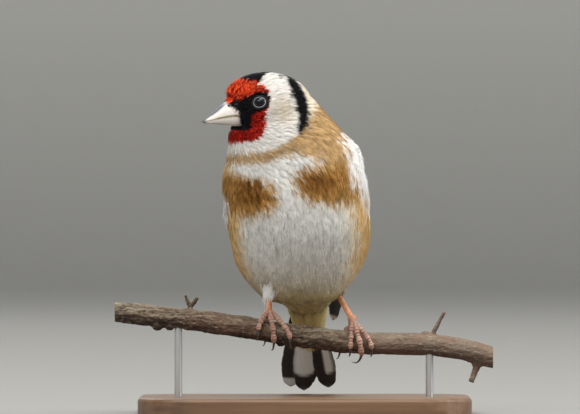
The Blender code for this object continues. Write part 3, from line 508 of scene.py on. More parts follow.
def tailPoints(along, side, above):
    along, side, above = np.broadcast_arrays(np.asarray(along, float), side, above)
    places = np.array(tailLine["start"]) + along[..., None] * tailAlong + above[..., None] * tailAbove
    places[..., 0] += side + tailLine["lean"] * along
    return fromBird(places)


def eyeMiddle(side):
    return np.array([eyePlace["forward"], side * eyePlace["side"], eyePlace["up"]])


def fromEyes(places):
    # distance from the nearer eye
    away = [places - fromHead(eyeMiddle(side)) for side in (1, -1)]
    return np.linalg.norm(away, axis=-1).min(axis=0)


def coatAt(places):
    far = np.linalg.norm(places - billRoot, axis=-1)
    depth, length, half, spacing = readTable(coatTable, far).T
    near = 0.45 + 0.55 * ease(fromEyes(places), 2.4, 6.0)
    return depth * near, length * near, half * (0.4 + 0.6 * near), spacing


def rumpForm():
    rump = bmesh.new()
    table = skinShape["rump"]

    def place(u, v):
        along = table[0][0] + u * (table[-1][0] - table[0][0])
        half, thick = readTable(table, along).T
        turn = 2 * math.pi * v
        return tailPoints(along, half * np.cos(turn) * closedEnds(u), thick * np.sin(turn) * closedEnds(u))

    wrapGrid(rump, 14, 33, place)
    bmesh.ops.recalc_face_normals(rump, faces=rump.faces)
    mesh = bpy.data.meshes.new("rump")
    rump.to_mesh(mesh)
    rump.free()
    return mesh


def aroundBill(places):
    # the skin drawn in to pass inside the bill ahead of the feathers' edge
    forward, side, up = toHead(places).T
    half, ridge, _, keel = readTable(billShape["slices"], forward).T
    share = np.clip((up - (ridge + keel) / 2) / ((ridge - keel) / 2), -1, 1)
    inside = half * np.sqrt(1 - share**2) * 0.82
    edge = readOne(headMarks["billEdge"], up)
    near = ease(forward - edge, -0.1, 0.7) * ease(up, -5.4, -4.5) * (1 - ease(up, 4.6, 5.6))
    drawn = np.sign(side) * np.minimum(np.abs(side), inside)
    return fromHead(np.stack([forward, side + (drawn - side) * near, up], 1))


def makeSkin():
    bm = copyNodes(skinShape["nodes"])
    for vert in bm.verts:
        vert.co += vert.normal * skinShape["swell"]
    rump = rumpForm()
    bm.from_mesh(rump)
    bpy.data.meshes.remove(rump)
    skin = remeshed(newObject("skin", bm), skinShape["voxel"], skinShape["softening"])
    places, normals = meshPoints(skin.data), meshNormals(skin.data)
    depth = coatAt(places)[0] + skinShape["swell"] * 0.6
    depth += eyePlace["sink"] * (1 - ease(fromEyes(places), 3.0, 4.6))
    setPoints(skin.data, aroundBill(places - normals * depth[:, None]))
    softened(skin, 3)
    bpy.context.view_layer.objects.active = skin
    skin.select_set(True)
    skin.data.uv_layers.new(name="OFBake")
    bpy.ops.object.mode_set(mode="EDIT")
    bpy.ops.mesh.select_all(action="SELECT")
    bpy.ops.uv.smart_project(angle_limit=math.radians(66.0), island_margin=0.004)
    bpy.ops.object.mode_set(mode="OBJECT")
    skin.select_set(False)
    return skin


def lieAt(places, normals):
    # the way the feathers lie: away from the bill over the head, then down the body to the tail
    away = places - billRoot
    far = np.linalg.norm(away, axis=-1)
    away = unit(away) - headAxes[0] * 0.45
    z = places[:, 2]
    low = (1 - ease(z, 38.0, 62.0))[:, None]
    down = unit(fromBird([0.0, 0.1, -1.0]) * (1 - low) + fromBird(tailAlong) * low)
    share = ease(far, 13.0, 50.0)[:, None]
    lie = unit(away) * (1 - share) + down * share
    lie -= normals * np.sum(lie * normals, axis=-1, keepdims=True)
    return unit(lie)


class Surface:
    # the skin with what the coat needs to know of it
    def __init__(self, skin):
        mesh = skin.data
        mesh.calc_loop_triangles()
        self.points, self.normals = meshPoints(mesh), meshNormals(mesh)
        self.corners = readAll(mesh.loop_triangles, "vertices", 3, np.int32)
        loops = readAll(mesh.loop_triangles, "loops", 3, np.int32)
        self.spots = readAll(mesh.uv_layers["OFBake"].data, "uv", 2)[loops]
        self.tree = BVHTree.FromPolygons(self.points.tolist(), self.corners.tolist())

    def scatter(self, count, rng):
        triangles = self.points[self.corners]
        cross = np.cross(triangles[:, 1] - triangles[:, 0], triangles[:, 2] - triangles[:, 0])
        area = np.linalg.norm(cross, axis=1) / 2
        spacing = coatAt(triangles.mean(axis=1))[3]
        weight = area / spacing**2
        chosen = rng.choice(len(weight), size=count, p=weight / weight.sum())
        first, second = rng.random(count), rng.random(count)
        over = first + second > 1
        first[over], second[over] = 1 - first[over], 1 - second[over]
        shares = np.stack([1 - first - second, first, second], axis=1)[:, :, None]
        places = (self.points[self.corners[chosen]] * shares).sum(axis=1)
        normals = unit((self.normals[self.corners[chosen]] * shares).sum(axis=1))
        spots = (self.spots[chosen] * shares).sum(axis=1)
        return places, normals, spots

    def spotsNear(self, places):
        faces = [self.tree.find_nearest(place)[2] for place in places]
        return self.spots[faces].mean(axis=1)

    def settle(self, places):
        found = np.array([self.tree.find_nearest(place)[:2] for place in places])
        return found[:, 0], found[:, 1]


def thinned(places, spacing):
    # which places are kept, so that none lies within the spacing of one before it
    tree = KDTree(len(places))
    for i, place in enumerate(places):
        tree.insert(place, i)
    tree.balance()
    free = np.ones(len(places), bool)
    kept = []
    for i, place in enumerate(places):
        if free[i]:
            kept.append(i)
            for _, other, _ in tree.find_range(place, spacing[i]):
                free[other] = False
    return np.array(kept)


wingSheet = {
    "slope": math.radians(49.5),
    "start": -68.9,
    "length": 73.0,
    # share of the length, half width, half height, height of the oval's middle
    "oval": ((0.0, 17.8, 13.5, 40.5), (0.2, 19.4, 16.0, 40.5), (0.4, 19.3, 16.6, 40.5),
             (0.6, 16.4, 14.2, 41.0), (0.8, 12.0, 9.8, 41.8), (1.0, 9.6, 7.0, 43.0)),
    # what a wing hides of the body: share, first angle, last angle
    "hides": ((0.08, 20.0, 28.0), (0.16, 16.0, 46.0), (0.3, 14.0, 66.0), (0.5, 16.0, 72.0),
              (0.7, 24.0, 68.0), (0.9, 32.0, 54.0)),
}
wingAlong, wingAbove = slopeAxes(wingSheet["slope"])


def underWing(places):
    body = toBird(places)
    share = (body @ wingAlong - wingSheet["start"]) / wingSheet["length"]
    half, tall, middle = readTable(wingSheet["oval"], share).T
    angle = np.degrees(np.arctan2((body @ wingAbove - middle) / tall, np.abs(body[:, 0]) / half))
    first, last = readTable(wingSheet["hides"], share).T
    inside = (share > wingSheet["hides"][0][0]) & (share < wingSheet["hides"][-1][0])
    return inside & (angle > first) & (angle < last)


# Feathers: each is a fan of thin tapering barbs that lie along the skin

barbFan = {
    "steps": 3,  # of the feather's own line over the skin
    # count of barbs, their width, and how far a feather's colour strays from its place
    "head": (14, 0.075, 0.34),
    "body": (34, 0.1, 0.8),
    "roots": (0.04, 0.62),  # where the barbs' roots start along the feather, and how far on they go
    "reach": (0.3, 0.5),  # of a barb along the feather
    "spread": (0.55, 1.0),  # of its tip over the feather's half width
    "bend": (-0.1, 0.25),
    "flutter": (-0.5, 0.7),
    "round": 0.22,  # how much the light takes a feather as rounded
    "patch": 0.003,  # of OFBake that one feather takes
    # a barb's corners across its width, two at the root, two midway and the tip, and its faces
    "corners": (-0.4, 0.4, -0.5, 0.5, 0.0),
    "faces": ((0, 3, 1), (0, 2, 3), (2, 4, 3)),
}
standsOut = (  # middle in the bird's frame, reach, extra rise and lengthening of the coat
    ((20.0, -2.0, 76.0), 8.5, 1.7, 1.15),
    ((-20.5, -6.0, 65.0), 4.5, 1.5, 1.1),
)
coat = {
    "tries": 80000,  # places drawn, before they are thinned out to the spacing
    "regions": (13.0, 21.0, 32.0),  # where face, head and neck end, away from the bill's root
    "back": 2.0,  # from here on, in the bird's frame, it is the back
    "breast": 58.0,  # height where the breast starts
    "forehead": 0.5,  # rise of the forehead's feathers
    "rise": (0.0, 0.08),
    "length": (0.85, 1.15),
    "half": (0.85, 1.1),
    "turn": math.radians(8.0),
    "bareEye": 2.85,  # reach of the bare skin round an eye
    "bareBill": (3.9, -4.6, 5.4),  # half width, lowest and highest place at the bill's root
}


def featherLines(surface, places, normals, length, turn):
    # points, normals and ways across at the steps along each feather
    spots, ups, sides = [places], [normals], []
    here, up = places, normals
    for _ in range(barbFan["steps"]):
        lie = lieAt(here, up)
        lie = unit(lie + np.cross(up, lie) * np.tan(turn)[:, None])
        sides.append(np.cross(up, lie))
        here, up = surface.settle(here + lie * (length / barbFan["steps"])[:, None])
        spots.append(here)
        ups.append(up)
    sides.append(np.cross(up, lie))
    return np.stack(spots, 1), np.stack(ups, 1), np.stack(sides, 1)


def alongLine(line, t):
    # values at t from 0 to 1 along each feather, where t may differ for each barb
    steps = barbFan["steps"]
    scaled = np.clip(t, 0, 1.15) * steps
    i = np.clip(scaled.astype(int), 0, steps - 1)
    part = (scaled - i)[..., None]
    rows = np.arange(len(line)).reshape((-1,) + (1,) * (t.ndim - 1))
    return line[rows, i] * (1 - part) + line[rows, i + 1] * part


def laidLines(step):
    # the same for feathers that don't follow the skin: step(t) gives their points and normals
    steps = [step(t) for t in np.linspace(0, 1, barbFan["steps"] + 1)]
    points, ups = (np.stack(rows, 1) for rows in zip(*steps))
    lie = unit(points[:, -1] - points[:, 0])[:, None, :]
    return points, ups, np.cross(ups, lie)


def growFeathers(name, slot, finish, lines, spots, sizes, fan, colour, rng):
    # one piece; sizes are the half widths, depths and rises, and fan is the count and width of the barbs
    barbs, width = fan
    count = len(spots)
    half, depth, rise = (np.broadcast_to(size, count)[:, None, None] for size in sizes)
    shape = (count, barbs)
    index = np.arange(barbs)
    hand = np.where(index % 2 == 0, 1.0, -1.0)
    first, onward = barbFan["roots"]
    root = first + onward * (index // 2) / (barbs / 2) + rng.uniform(-0.03, 0.03, shape)
    reach = rng.uniform(*barbFan["reach"], shape) * (1 - 0.35 * root)
    end = np.minimum(root + reach, 1.0 + 0.06 * rng.random(shape))
    taper = np.sqrt(np.clip(1.06 - np.clip(end, 0, 1.05) ** 2.4, 0.0, 1.0))
    out = hand * half[..., 0] * taper * rng.uniform(*barbFan["spread"], shape)
    start = hand * 0.06 * half[..., 0]
    middle = start + (out - start) * (0.5 + rng.uniform(*barbFan["bend"], shape))
    t = np.stack([root, root, (root + end) / 2, (root + end) / 2, end], -1)
    across = np.stack([start, start, middle, middle, out], -1)
    edge = (width * (0.7 + 0.6 * rng.random(shape)))[..., None] * np.array(barbFan["corners"])
    flutter = np.zeros(t.shape)
    flutter[..., -1] = rng.uniform(*barbFan["flutter"], shape)
    centre, up, side = (alongLine(line, t.reshape(count, -1)).reshape(*t.shape, 3) for line in lines)
    up, side = unit(up), unit(side)
    share = across / half
    height = depth * ease(t, -0.15, 0.75) + rise * t**2
    height += flutter * depth * 0.06 - share**2 * depth * 0.1
    vertices = centre + side * (across + edge)[..., None] + up * height[..., None]
    lean = share * barbFan["round"] + rng.normal(0.0, 0.08, (*shape, 1))
    facing = unit(up + side * lean[..., None]).reshape(-1, 3)
    base = np.arange(count * barbs)[:, None, None] * t.shape[-1]
    faces = (base + np.array(barbFan["faces"])).reshape(-1, 3)
    mesh = bpy.data.meshes.new(name)
    mesh.vertices.add(vertices.size // 3)
    mesh.vertices.foreach_set("co", vertices.astype(np.float32).ravel())
    mesh.loops.add(faces.size)
    mesh.loops.foreach_set("vertex_index", faces.astype(np.int32).ravel())
    mesh.polygons.add(len(faces))
    mesh.polygons.foreach_set("loop_start", (np.arange(len(faces)) * 3).astype(np.int32))
    mesh.update(calc_edges=True)
    paintVertices(mesh, colour(vertices, t))
    local = np.stack([share / 2, t - 0.5], -1) * barbFan["patch"]
    flatUv = (spots[:, None, None, :] + local).reshape(-1, 2)[faces.ravel()]
    mesh.uv_layers.new(name="OFBake").data.foreach_set("uv", flatUv.astype(np.float32).ravel())
    mesh.normals_split_custom_set_from_vertices(facing.astype(np.float32))
    print("goldfinch:", name, count, "feathers,", len(faces), "triangles")
    return keepPiece(linked(name, mesh), finish, flat=True)


def growLaid(name, slot, finish, surface, step, half, look, colour, rng):
    # a piece of feathers that step lays, with its map places from the skin near their roots
    lines = laidLines(step)
    spots = surface.spotsNear(lines[0][:, 0])
    growFeathers(name, slot, finish, lines, spots, (half, look["depth"], 0.0), look["fan"], colour, rng)


def rootToTip(root, tip, reach, draw, limits):
    # colours that run from root to tip over a reach of the feather, in a shade drawn for each
    def colour(_, t):
        made = np.array(root) + (np.array(tip) - np.array(root)) * ease(t[..., None], *reach)
        return np.clip(made * draw(*limits, (len(t), 1, 1, 1)), 0, 0.95).reshape(-1, 3)

    return colour


def barbColours(rng, stray):
    def colour(places, t):
        count, barbs = places.shape[:2]
        flat = (places[:, :, 2:4].mean(axis=2) * 0.4 + places[:, :, 4] * 0.6).reshape(-1, 3)
        flat = flat + np.repeat(rng.normal(0, stray, (count, 3)), barbs, axis=0)
        flat += rng.normal(0, stray * 0.3, flat.shape)
        made = plumageColours(flat).reshape(count, barbs, 1, 3)
        bright = made.max(axis=3, keepdims=True)
        red = ease(made[..., 0:1] - made[..., 1:2] * 3.2, 0.1, 0.35)
        tip = np.clip(t[..., None], 0, 1)
        uneven = rng.normal(0, 1.0, (count, 1, 1, 1)) + rng.normal(0, 0.7, (count, barbs, 1, 1))
        shade = np.clip(1 + (0.02 + 0.4 * (1 - bright) ** 1.5) * uneven, 0.25, 2.1)
        # darker towards the roots: partly the feathers' own darker bases and partly painted shade in the gaps
        # between overlapping feathers
        root = np.minimum(0.47 + 0.62 * bright, 0.93)
        made = made * shade * (root + (1 - root) * ease(tip, 0.0, 0.55))
        # painted light and shade: the red is lighter towards the top of the head and darker lower down
        high = ease(toHead(flat)[:, 2], -1.0, 4.5).reshape(count, barbs, 1, 1)
        shadedToLitRed = np.array(dye["redShaded"]) * (1 - high) + np.array(dye["redLit"]) * high
        shadedToLitRed = shadedToLitRed * np.clip(1 + 0.46 * uneven, 0.12, 1.9)
        # towards its roots each red barb turns dark: partly the feathers' dark bases and partly painted shade
        # between their tips
        deep = np.array(dye["redRootShade"])
        made = made * (1 - red) + (deep + (shadedToLitRed - deep) * ease(tip, 0.26, 0.84)) * red
        return np.clip(made, 0, 0.95).reshape(-1, 3)

    return colour


def nakedAt(places):
    # round the eyes, at the bill's root and under the folded wings no feathers grow
    forward, side, up = toHead(places).T
    edge = readOne(headMarks["billEdge"], up)
    half, low, high = coat["bareBill"]
    bill = (forward > edge) & (np.abs(side) < half) & (up > low) & (up < high)
    return (fromEyes(places) < coat["bareEye"]) | bill | underWing(places)


def makeCoat(surface, finish):
    rng = np.random.default_rng(11)
    places, normals, spots = surface.scatter(coat["tries"], rng)
    keep = ~nakedAt(places)
    places, normals, spots = places[keep], normals[keep], spots[keep]
    kept = thinned(places, coatAt(places)[3])
    places, normals, spots = places[kept], normals[kept], spots[kept]
    depth, length, half, _ = coatAt(places)
    count = len(places)
    forward, _, up = toHead(places).T
    depth = depth + coat["forehead"] * ease(forward, 9.5, 12.0) * ease(up, 3.8, 5.8)
    rise = rng.uniform(*coat["rise"], count) * depth
    for middle, reach, lift, longer in standsOut:
        near = 1 - ease(np.linalg.norm(toBird(places) - np.array(middle), axis=1), 0.35 * reach, reach)
        rise += near * lift * rng.uniform(0.5, 1.3, count)
        length = length * (1 + near * (longer - 1))
    length = length * rng.uniform(*coat["length"], count)
    half = half * rng.uniform(*coat["half"], count)
    turn = rng.normal(0.0, coat["turn"], count)
    lines = featherLines(surface, places, normals, length, turn)
    far = np.linalg.norm(places - billRoot, axis=1)
    pastFace, pastHead, body = (far >= end for end in coat["regions"])
    back, high = toBird(places)[:, 1] > coat["back"], places[:, 2] >= coat["breast"]
    regions = {
        "coat_face": ("head", ~pastFace),
        "coat_head": ("head", pastFace & ~pastHead),
        "coat_neck": ("body", pastHead & ~body),
        "coat_breast": ("body", body & ~back & high),
        "coat_belly": ("body", body & ~back & ~high),
        "coat_back": ("body", body & back),
    }
    for name, (part, mask) in regions.items():
        barbs, width, stray = barbFan[part]
        growFeathers(name, part + "_plumage", finish, [line[mask] for line in lines], spots[mask],
                     (half[mask], depth[mask], rise[mask]), (barbs, width), barbColours(rng, stray), rng)


# Bill: two halves along the head's forward line

billShape = {
    # forward, half width, ridge, mouth line, keel
    "slices": ((7.6, 3.5, 5.6, -1.1, -4.2), (8.6, 3.5, 5.5, -0.9, -4.1), (11.0, 3.35, 5.1, -0.5, -3.75),
               (13.0, 2.85, 4.3, -0.42, -3.2), (15.0, 2.25, 3.15, -0.44, -2.7),
               (17.0, 1.65, 1.8, -0.58, -2.25), (19.0, 1.0, 0.6, -0.78, -1.85),
               (20.8, 0.45, -0.45, -0.95, -1.5), (21.7, 0.18, -0.8, -1.03, -1.25)),
    "gap": 0.16,
    "lowerShare": 0.96,
    "lowerWidth": 0.93,
    "arch": 0.72,  # share of the way round that the outside takes
    "roundness": 0.85,
    "nostril": (12.6, 2.2, 3.0, 0.55),  # forward, side, up, radius
    "along": 90,
    "around": 57,
}
billDye = {
    "horn": (0.76, 0.71, 0.655),
    "root": (0.70, 0.57, 0.56),
    "ridge": (0.05, 0.055, 0.10),
    "tip": (0.03, 0.028, 0.035),
    "edge": (0.47, 0.40, 0.13),
    "under": (0.22, 0.12, 0.10),
}


def billHalf(name, upper):
    slices, arch = billShape["slices"], billShape["arch"]
    first, last = slices[0][0], slices[-1][0]
    nostrilForward, nostrilSide, nostrilUp, nostrilRadius = billShape["nostril"]
    away = 1 if upper else -1
    bm = bmesh.new()

    def place(u, v):
        forward = first + u**0.85 * (last - first)
        half, ridge, mouth, keel = readTable(slices, forward).T
        if not upper:
            forward = first + (forward - first) * billShape["lowerShare"]
            half = half * billShape["lowerWidth"]
        edge = mouth + away * billShape["gap"] / 2
        far = ridge if upper else keel
        angle = math.pi * np.clip(v / arch, 0, 1)
        back = np.clip((v - arch) / (1 - arch), 0, 1)
        side = np.where(v < arch, np.cos(angle), -1 + 2 * back) * half
        sharp = billShape["roundness"] + 0.25 * ease(forward, 14.0, 20.0)
        rise = edge + (far - edge) * np.where(v < arch, np.sin(angle) ** sharp, 0.0)
        rise = rise + away * 0.3 * np.sin(math.pi * back) * half / 3.4
        middle = edge + (far - edge) * 0.45
        for hand in (1, -1):
            flat = np.hypot(forward - nostrilForward, rise - nostrilUp)
            near = np.hypot(flat, side - hand * nostrilSide) / nostrilRadius
            side = side - hand * 0.35 * np.exp(-near**2)
        closed = closedEnds(u)
        return fromHead(np.stack([forward, side * closed, middle + (rise - middle) * closed], 1))

    wrapGrid(bm, billShape["along"], billShape["around"], place)
    made = newObject(name, bm, outward=True)
    forward, _, up = toHead(meshPoints(made.data)).T
    _, ridge, mouth, keel = readTable(slices, forward).T
    paint = Paint(billDye, "horn", len(up))
    paint.lay("root", 1 - ease(forward, 9.5, 12.5))
    if upper:
        high = (up - mouth) / np.maximum(ridge - mouth, 0.3)
        spine = ease(high, 0.5 + 0.28 * (1 - ease(forward, 12.5, 17.5)), 0.93)
        paint.lay("ridge", spine * ease(forward, 11.8, 15.0))
        # painted shade: the nostril's opening darkened with the tip's dye, for the shade in the hole
        paint.lay("tip", 1 - ease(np.hypot(forward - nostrilForward, up - nostrilUp), 0.25, 0.6))
    else:
        low = (mouth - up) / np.maximum(mouth - keel, 0.3)
        paint.lay("under", ease(low, 0.7, 1.0) * ease(forward, 12.0, 16.0))
    line = 1 - ease(np.abs(up - mouth), 0.14, 0.55)
    paint.lay("edge", line * ease(forward, 9.0, 11.0) * (1 - ease(forward, 16.0, 18.0)) * 0.9)
    paint.lay("tip", ease(forward, 19.3, 20.8))
    paintVertices(made.data, paint.colours, "horn")
    return made


overBill = {  # feathers that lie forward over the bill's root
    # count, angles from the bill's side over its ridge, starts past the feathers' edge, lengths, lift,
    # half width, dyes of root and tip
    "bristles": (520, (-48.0, 84.0), (-1.1, -0.2), (1.0, 2.3), 0.42, 0.22, "black", "black"),
    "forelock": (150, (50.0, 90.0), (-1.3, 0.1), (1.3, 2.0), 0.75, 0.34, "redRootShade", "redLit"),
    "depth": 0.05,
    "fan": (7, 0.075),
}


def onBill(forward, turn, out):
    # places out from the bill's surface, turn round it from its left edge over the ridge
    half, ridge, mouth, keel = readTable(billShape["slices"], forward).T
    high = np.abs(np.sin(turn)) ** billShape["roundness"]
    up = np.where(np.sin(turn) > 0, mouth + (ridge - mouth + out) * high, mouth - (mouth - keel + out) * high)
    return fromHead(np.stack([forward, np.cos(turn) * (half + out), up], 1))


def billFringe(kind, surface, finish):
    rng = np.random.default_rng(41)
    count, turns, starts, lengths, lift, half, root, tip = overBill[kind]
    turn = np.radians(rng.uniform(*turns, count))
    turn = np.where(rng.random(count) < 0.5, turn, math.pi - turn)
    height = toHead(onBill(np.full(count, 10.5), turn, 0.0))[:, 2]
    start = readOne(headMarks["billEdge"], height) + rng.uniform(*starts, count)
    length = rng.uniform(*lengths, count)
    steer = rng.normal(0.0, 0.12, count)
    lift = lift * rng.uniform(0.6, 1.3, count)

    def step(t):
        out = 0.05 + lift * math.sin(math.pi * (0.25 + 0.6 * t))
        place, above = (onBill(start + t * length, turn + steer * t, reach) for reach in (out, out + 1.0))
        return place, unit(above - place)

    colour = rootToTip(dye[root], dye[tip], (0.1, 0.6), rng.uniform, (0.6, 1.5))
    growLaid("coat_" + kind, "head_plumage", finish, surface, step, half, overBill, colour, rng)


# Eyes: a glossy ball, a pale ring of bare skin and a dark fold outside it

eyeLook = {
    "flat": 0.84,  # height of the ring over its width
    # radius, thickness, drawn in, least level, level over the ball, beads, height of the beads
    "ring": (1.88, (0.13, 0.2), 0.0, 0.0, 0.08, 34, 0.14),
    "fold": (2.38, (0.33, 0.34), 0.3, 0.6, 0.0, 17, 0.1),
}
eyeDye = {
    "iris": (0.011, 0.006, 0.005),
    "pupil": (0.002, 0.002, 0.002),
    "rim": (0.004, 0.003, 0.003),
    "ring": (0.33, 0.34, 0.36),
    "fold": (0.012, 0.012, 0.013),
}


def eyeFrame(side):
    turn, lift = math.radians(eyePlace["turn"]), math.radians(eyePlace["lift"])
    look = np.array([math.sin(turn) * math.cos(lift), side * math.cos(turn) * math.cos(lift), math.sin(lift)])
    across = unit(np.cross(np.array([0.0, 0.0, 1.0]), look))
    return eyeMiddle(side), look, across, np.cross(look, across)


def eyeBall(name, side):
    centre, look, across, above = eyeFrame(side)
    bm = bmesh.new()
    bmesh.ops.create_uvsphere(bm, u_segments=64, v_segments=48, radius=eyePlace["radius"])
    for vert in bm.verts:
        x, y, z = vert.co
        vert.co = fromHead(centre + across * x + above * y + look * z)
    made = newObject(name, bm)
    ways = unit(toHead(meshPoints(made.data)) - centre)
    wide = np.degrees(np.arccos(np.clip(ways @ look, -1, 1)))
    paint = Paint(eyeDye, "iris", len(wide))
    paint.lay("pupil", 1 - ease(wide, 26.0, 30.0))
    paint.lay("rim", ease(wide, 50.0, 58.0))
    paintVertices(made.data, paint.colours, "eye")
    return made


def ringOf(bm, side, kind):
    # an oval ring that lies on the ball
    centre, look, across, above = eyeFrame(side)
    radius, thick, drawn, least, over, beads, height = eyeLook[kind]

    def place(u, v):
        turn, round_ = 2 * math.pi * u, 2 * math.pi * v
        bead = 1 + height * np.cos(turn * beads)
        local = radius * np.hypot(np.cos(turn), np.sin(turn) * eyeLook["flat"]) - drawn
        level = np.sqrt(np.maximum(eyePlace["radius"] ** 2 - local**2, 0.0)) + over
        level = np.maximum(level, least) + thick[1] * np.sin(round_) * bead
        reach = radius + thick[0] * np.cos(round_) * bead
        way = np.cos(turn)[:, None] * across + np.sin(turn)[:, None] * above * eyeLook["flat"]
        return fromHead(centre + way * reach[:, None] + look * level[:, None])

    wrapGrid(bm, beads * 4 + 1, 11, place)


def eyeRing(name, side):
    bm = bmesh.new()
    ringOf(bm, side, "ring")
    ringOf(bm, side, "fold")
    made = newObject(name, bm, outward=True)
    centre, _, across, above = eyeFrame(side)
    ways = toHead(meshPoints(made.data)) - centre
    reach = np.hypot(ways @ across, ways @ above / eyeLook["flat"])
    paint = Paint(eyeDye, "ring", len(reach))
    paint.lay("fold", ease(reach, 2.01, 2.05))
    paintVertices(made.data, paint.colours, "eye")
    return made


# Vanes of the wings and the tail

vaneShape = {
    "along": 34,
    "across": 9,
    "thick": 0.1,
    "shaft": 0.1,
    "shaftWide": 0.16,
    "camber": 0.05,
    "flight": ((0.0, 0.5), (0.3, 0.95), (0.72, 1.0), (0.9, 0.84), (0.97, 0.55), (1.0, 0.08)),
    "covert": ((0.0, 0.6), (0.4, 1.0), (0.75, 0.95), (0.92, 0.62), (1.0, 0.1)),
    "tail": ((0.0, 0.5), (0.4, 0.88), (0.88, 1.0), (0.96, 0.72), (1.0, 0.1)),
}


class VaneSheet:
    # gathers vanes in one mesh with their colours and the run of their barbs
    def __init__(self):
        self.bm = bmesh.new()
        self.colours, self.runs = [], []

    def lay(self, place, half, outline, length, colour, seed):
        shape = vaneShape
        made = bmesh.ops.create_grid(self.bm, x_segments=shape["along"], y_segments=shape["across"], size=1.0)
        flat = np.array([vert.co for vert in made["verts"]])
        share, across = (flat[:, 0] + 1) / 2, flat[:, 1]
        wide = readOne(outline, share)
        ragged = np.sin(share * 61 + seed) * np.sin(share * 23 + seed * 2.3) * 0.035 + 1
        way = across * half * wide * ragged
        shaft = shape["shaft"] * np.exp(-(way / shape["shaftWide"]) ** 2) * (1 - 0.7 * share)
        points = place(share, way, shaft - shape["camber"] * way**2 / half)
        for vert, point in zip(made["verts"], points):
            vert.co = point
        self.colours.append(colour(share, across, way))
        self.runs.append(share * length - 0.9 * np.abs(way))

    def finish(self, name):
        made = newObject(name, self.bm)
        paintVertices(made.data, np.concatenate(self.colours), "vane")
        layer = made.data.attributes.new("barb", "FLOAT", "POINT")
        layer.data.foreach_set("value", np.concatenate(self.runs).astype(np.float32))
        return made


def thicken(made):
    solid = made.modifiers.new("thickness", "SOLIDIFY")
    solid.thickness = vaneShape["thick"] * mm
    solid.offset = 0.0


# Wings

wingPad = {
    "thick": 1.5,
    "tilt": 0.17,
    # share of the wing's length, first angle, last angle
    "outline": ((0.04, 18.0, 28.0), (0.14, 11.0, 46.0), (0.3, 8.0, 66.0), (0.44, 10.0, 73.0),
                (0.52, 16.0, 70.0)),
}
wingDye = {
    "black": (0.011, 0.011, 0.013),
    "sooty": (0.030, 0.026, 0.024),
    "yellow": (0.78, 0.50, 0.012),
    "tip": (0.80, 0.76, 0.68),
    "buff": (0.35, 0.24, 0.13),
    "shaft": (0.05, 0.04, 0.035),
    "white": (0.82, 0.92, 0.94),
}
wingTiers = {  # count, root share, root angles, tip shares, tip angles, half width, height, step up
    "primary": (9, 0.40, (17.0, 36.0), (1.0, 0.80), (41.0, 55.0), 2.0, 0.45, 0.12),
    "secondary": (7, 0.38, (38.0, 62.0), (0.77, 0.67), (53.0, 68.0), 2.2, 1.15, 0.09),
    "tertial": (3, 0.36, (63.0, 70.0), (0.71, 0.56), (69.0, 75.0), 2.9, 1.9, 0.15),
    "primaryCovert": (5, 0.24, (14.0, 23.0), (0.50, 0.46), (20.0, 31.0), 1.5, 1.25, 0.07),
    "greaterCovert": (10, 0.20, (20.0, 50.0), (0.43, 0.40), (25.0, 67.0), 2.2, 1.65, 0.04),
    "medianCovert": (10, 0.12, (18.0, 38.0), (0.29, 0.27), (20.0, 57.0), 1.9, 2.0, 0.03),
}
wingFold = {1: 9.0, -1: 22.0}  # how far the tips turn in over the rump
wingTuft = {
    "count": 900,
    "shares": (0.03, 0.24),
    "lengths": (2.6, 3.6),
    "halves": (0.75, 1.0),
    "depth": 0.55,
    "over": 0.5,  # how high they start over the arm
    "fan": (15, 0.1),
}


def wingPoints(side, share, angle, height):
    half, tall, middle = readTable(wingSheet["oval"], share).T
    a = np.radians(angle)
    out = unit(np.stack([np.cos(a) / half, np.sin(a) / tall], 1))
    above = middle + tall * np.sin(a) + out[:, 1] * height
    along = wingSheet["start"] + share * wingSheet["length"]
    places = along[:, None] * wingAlong + above[:, None] * wingAbove
    places[:, 0] = side * (half * np.cos(a) + out[:, 0] * height)
    return fromBird(places)


def wingVaneColours(kind):
    def colour(share, across, way):
        paint = Paint(wingDye, "black", len(share))
        outer = 1 - ease(across, -0.05, 0.15)  # the web nearer the wing's lower edge
        if kind == "primary":
            paint.lay("yellow", ease(share, 0.05, 0.12) * (1 - ease(share, 0.34, 0.40)) * outer)
            paint.lay("tip", ease(share, 0.94, 0.96))
        elif kind == "secondary":
            paint.lay("yellow", (1 - ease(share, 0.36, 0.44)) * (0.4 + 0.6 * outer))
            paint.lay("tip", ease(share, 0.92, 0.95))
        elif kind == "tertial":
            paint.lay("tip", ease(share + 0.06 * np.abs(across), 0.86, 0.92))
        elif kind == "greaterCovert":
            paint.lay("yellow", ease(share, 0.42, 0.5))
        elif kind == "medianCovert":
            paint.lay("buff", ease(share, 0.8, 0.95) * 0.5)
        paint.lay("shaft", np.exp(-(way / 0.1) ** 2) * 0.6)
        return paint.colours

    return colour


def layWingVane(sheet, side, root, tip, half, height, kind):
    length = abs(tip[0] - root[0]) * wingSheet["length"]
    start = wingPad["thick"] / 2

    def place(share, way, level):
        along, angle = (root[i] + (tip[i] - root[i]) * share for i in (0, 1))
        wide, tall, _ = readTable(wingSheet["oval"], along).T
        a = np.radians(angle)
        reach = np.radians(np.hypot(wide * np.sin(a), tall * np.cos(a)))
        rise = start + (height - start) * np.minimum(1.0, share / 0.35)
        return wingPoints(side, along, angle + way / reach, rise - wingPad["tilt"] * way + level)

    outline = vaneShape["covert" if "Covert" in kind else "flight"]
    sheet.lay(place, half, outline, length, wingVaneColours(kind), height * 7 + side)


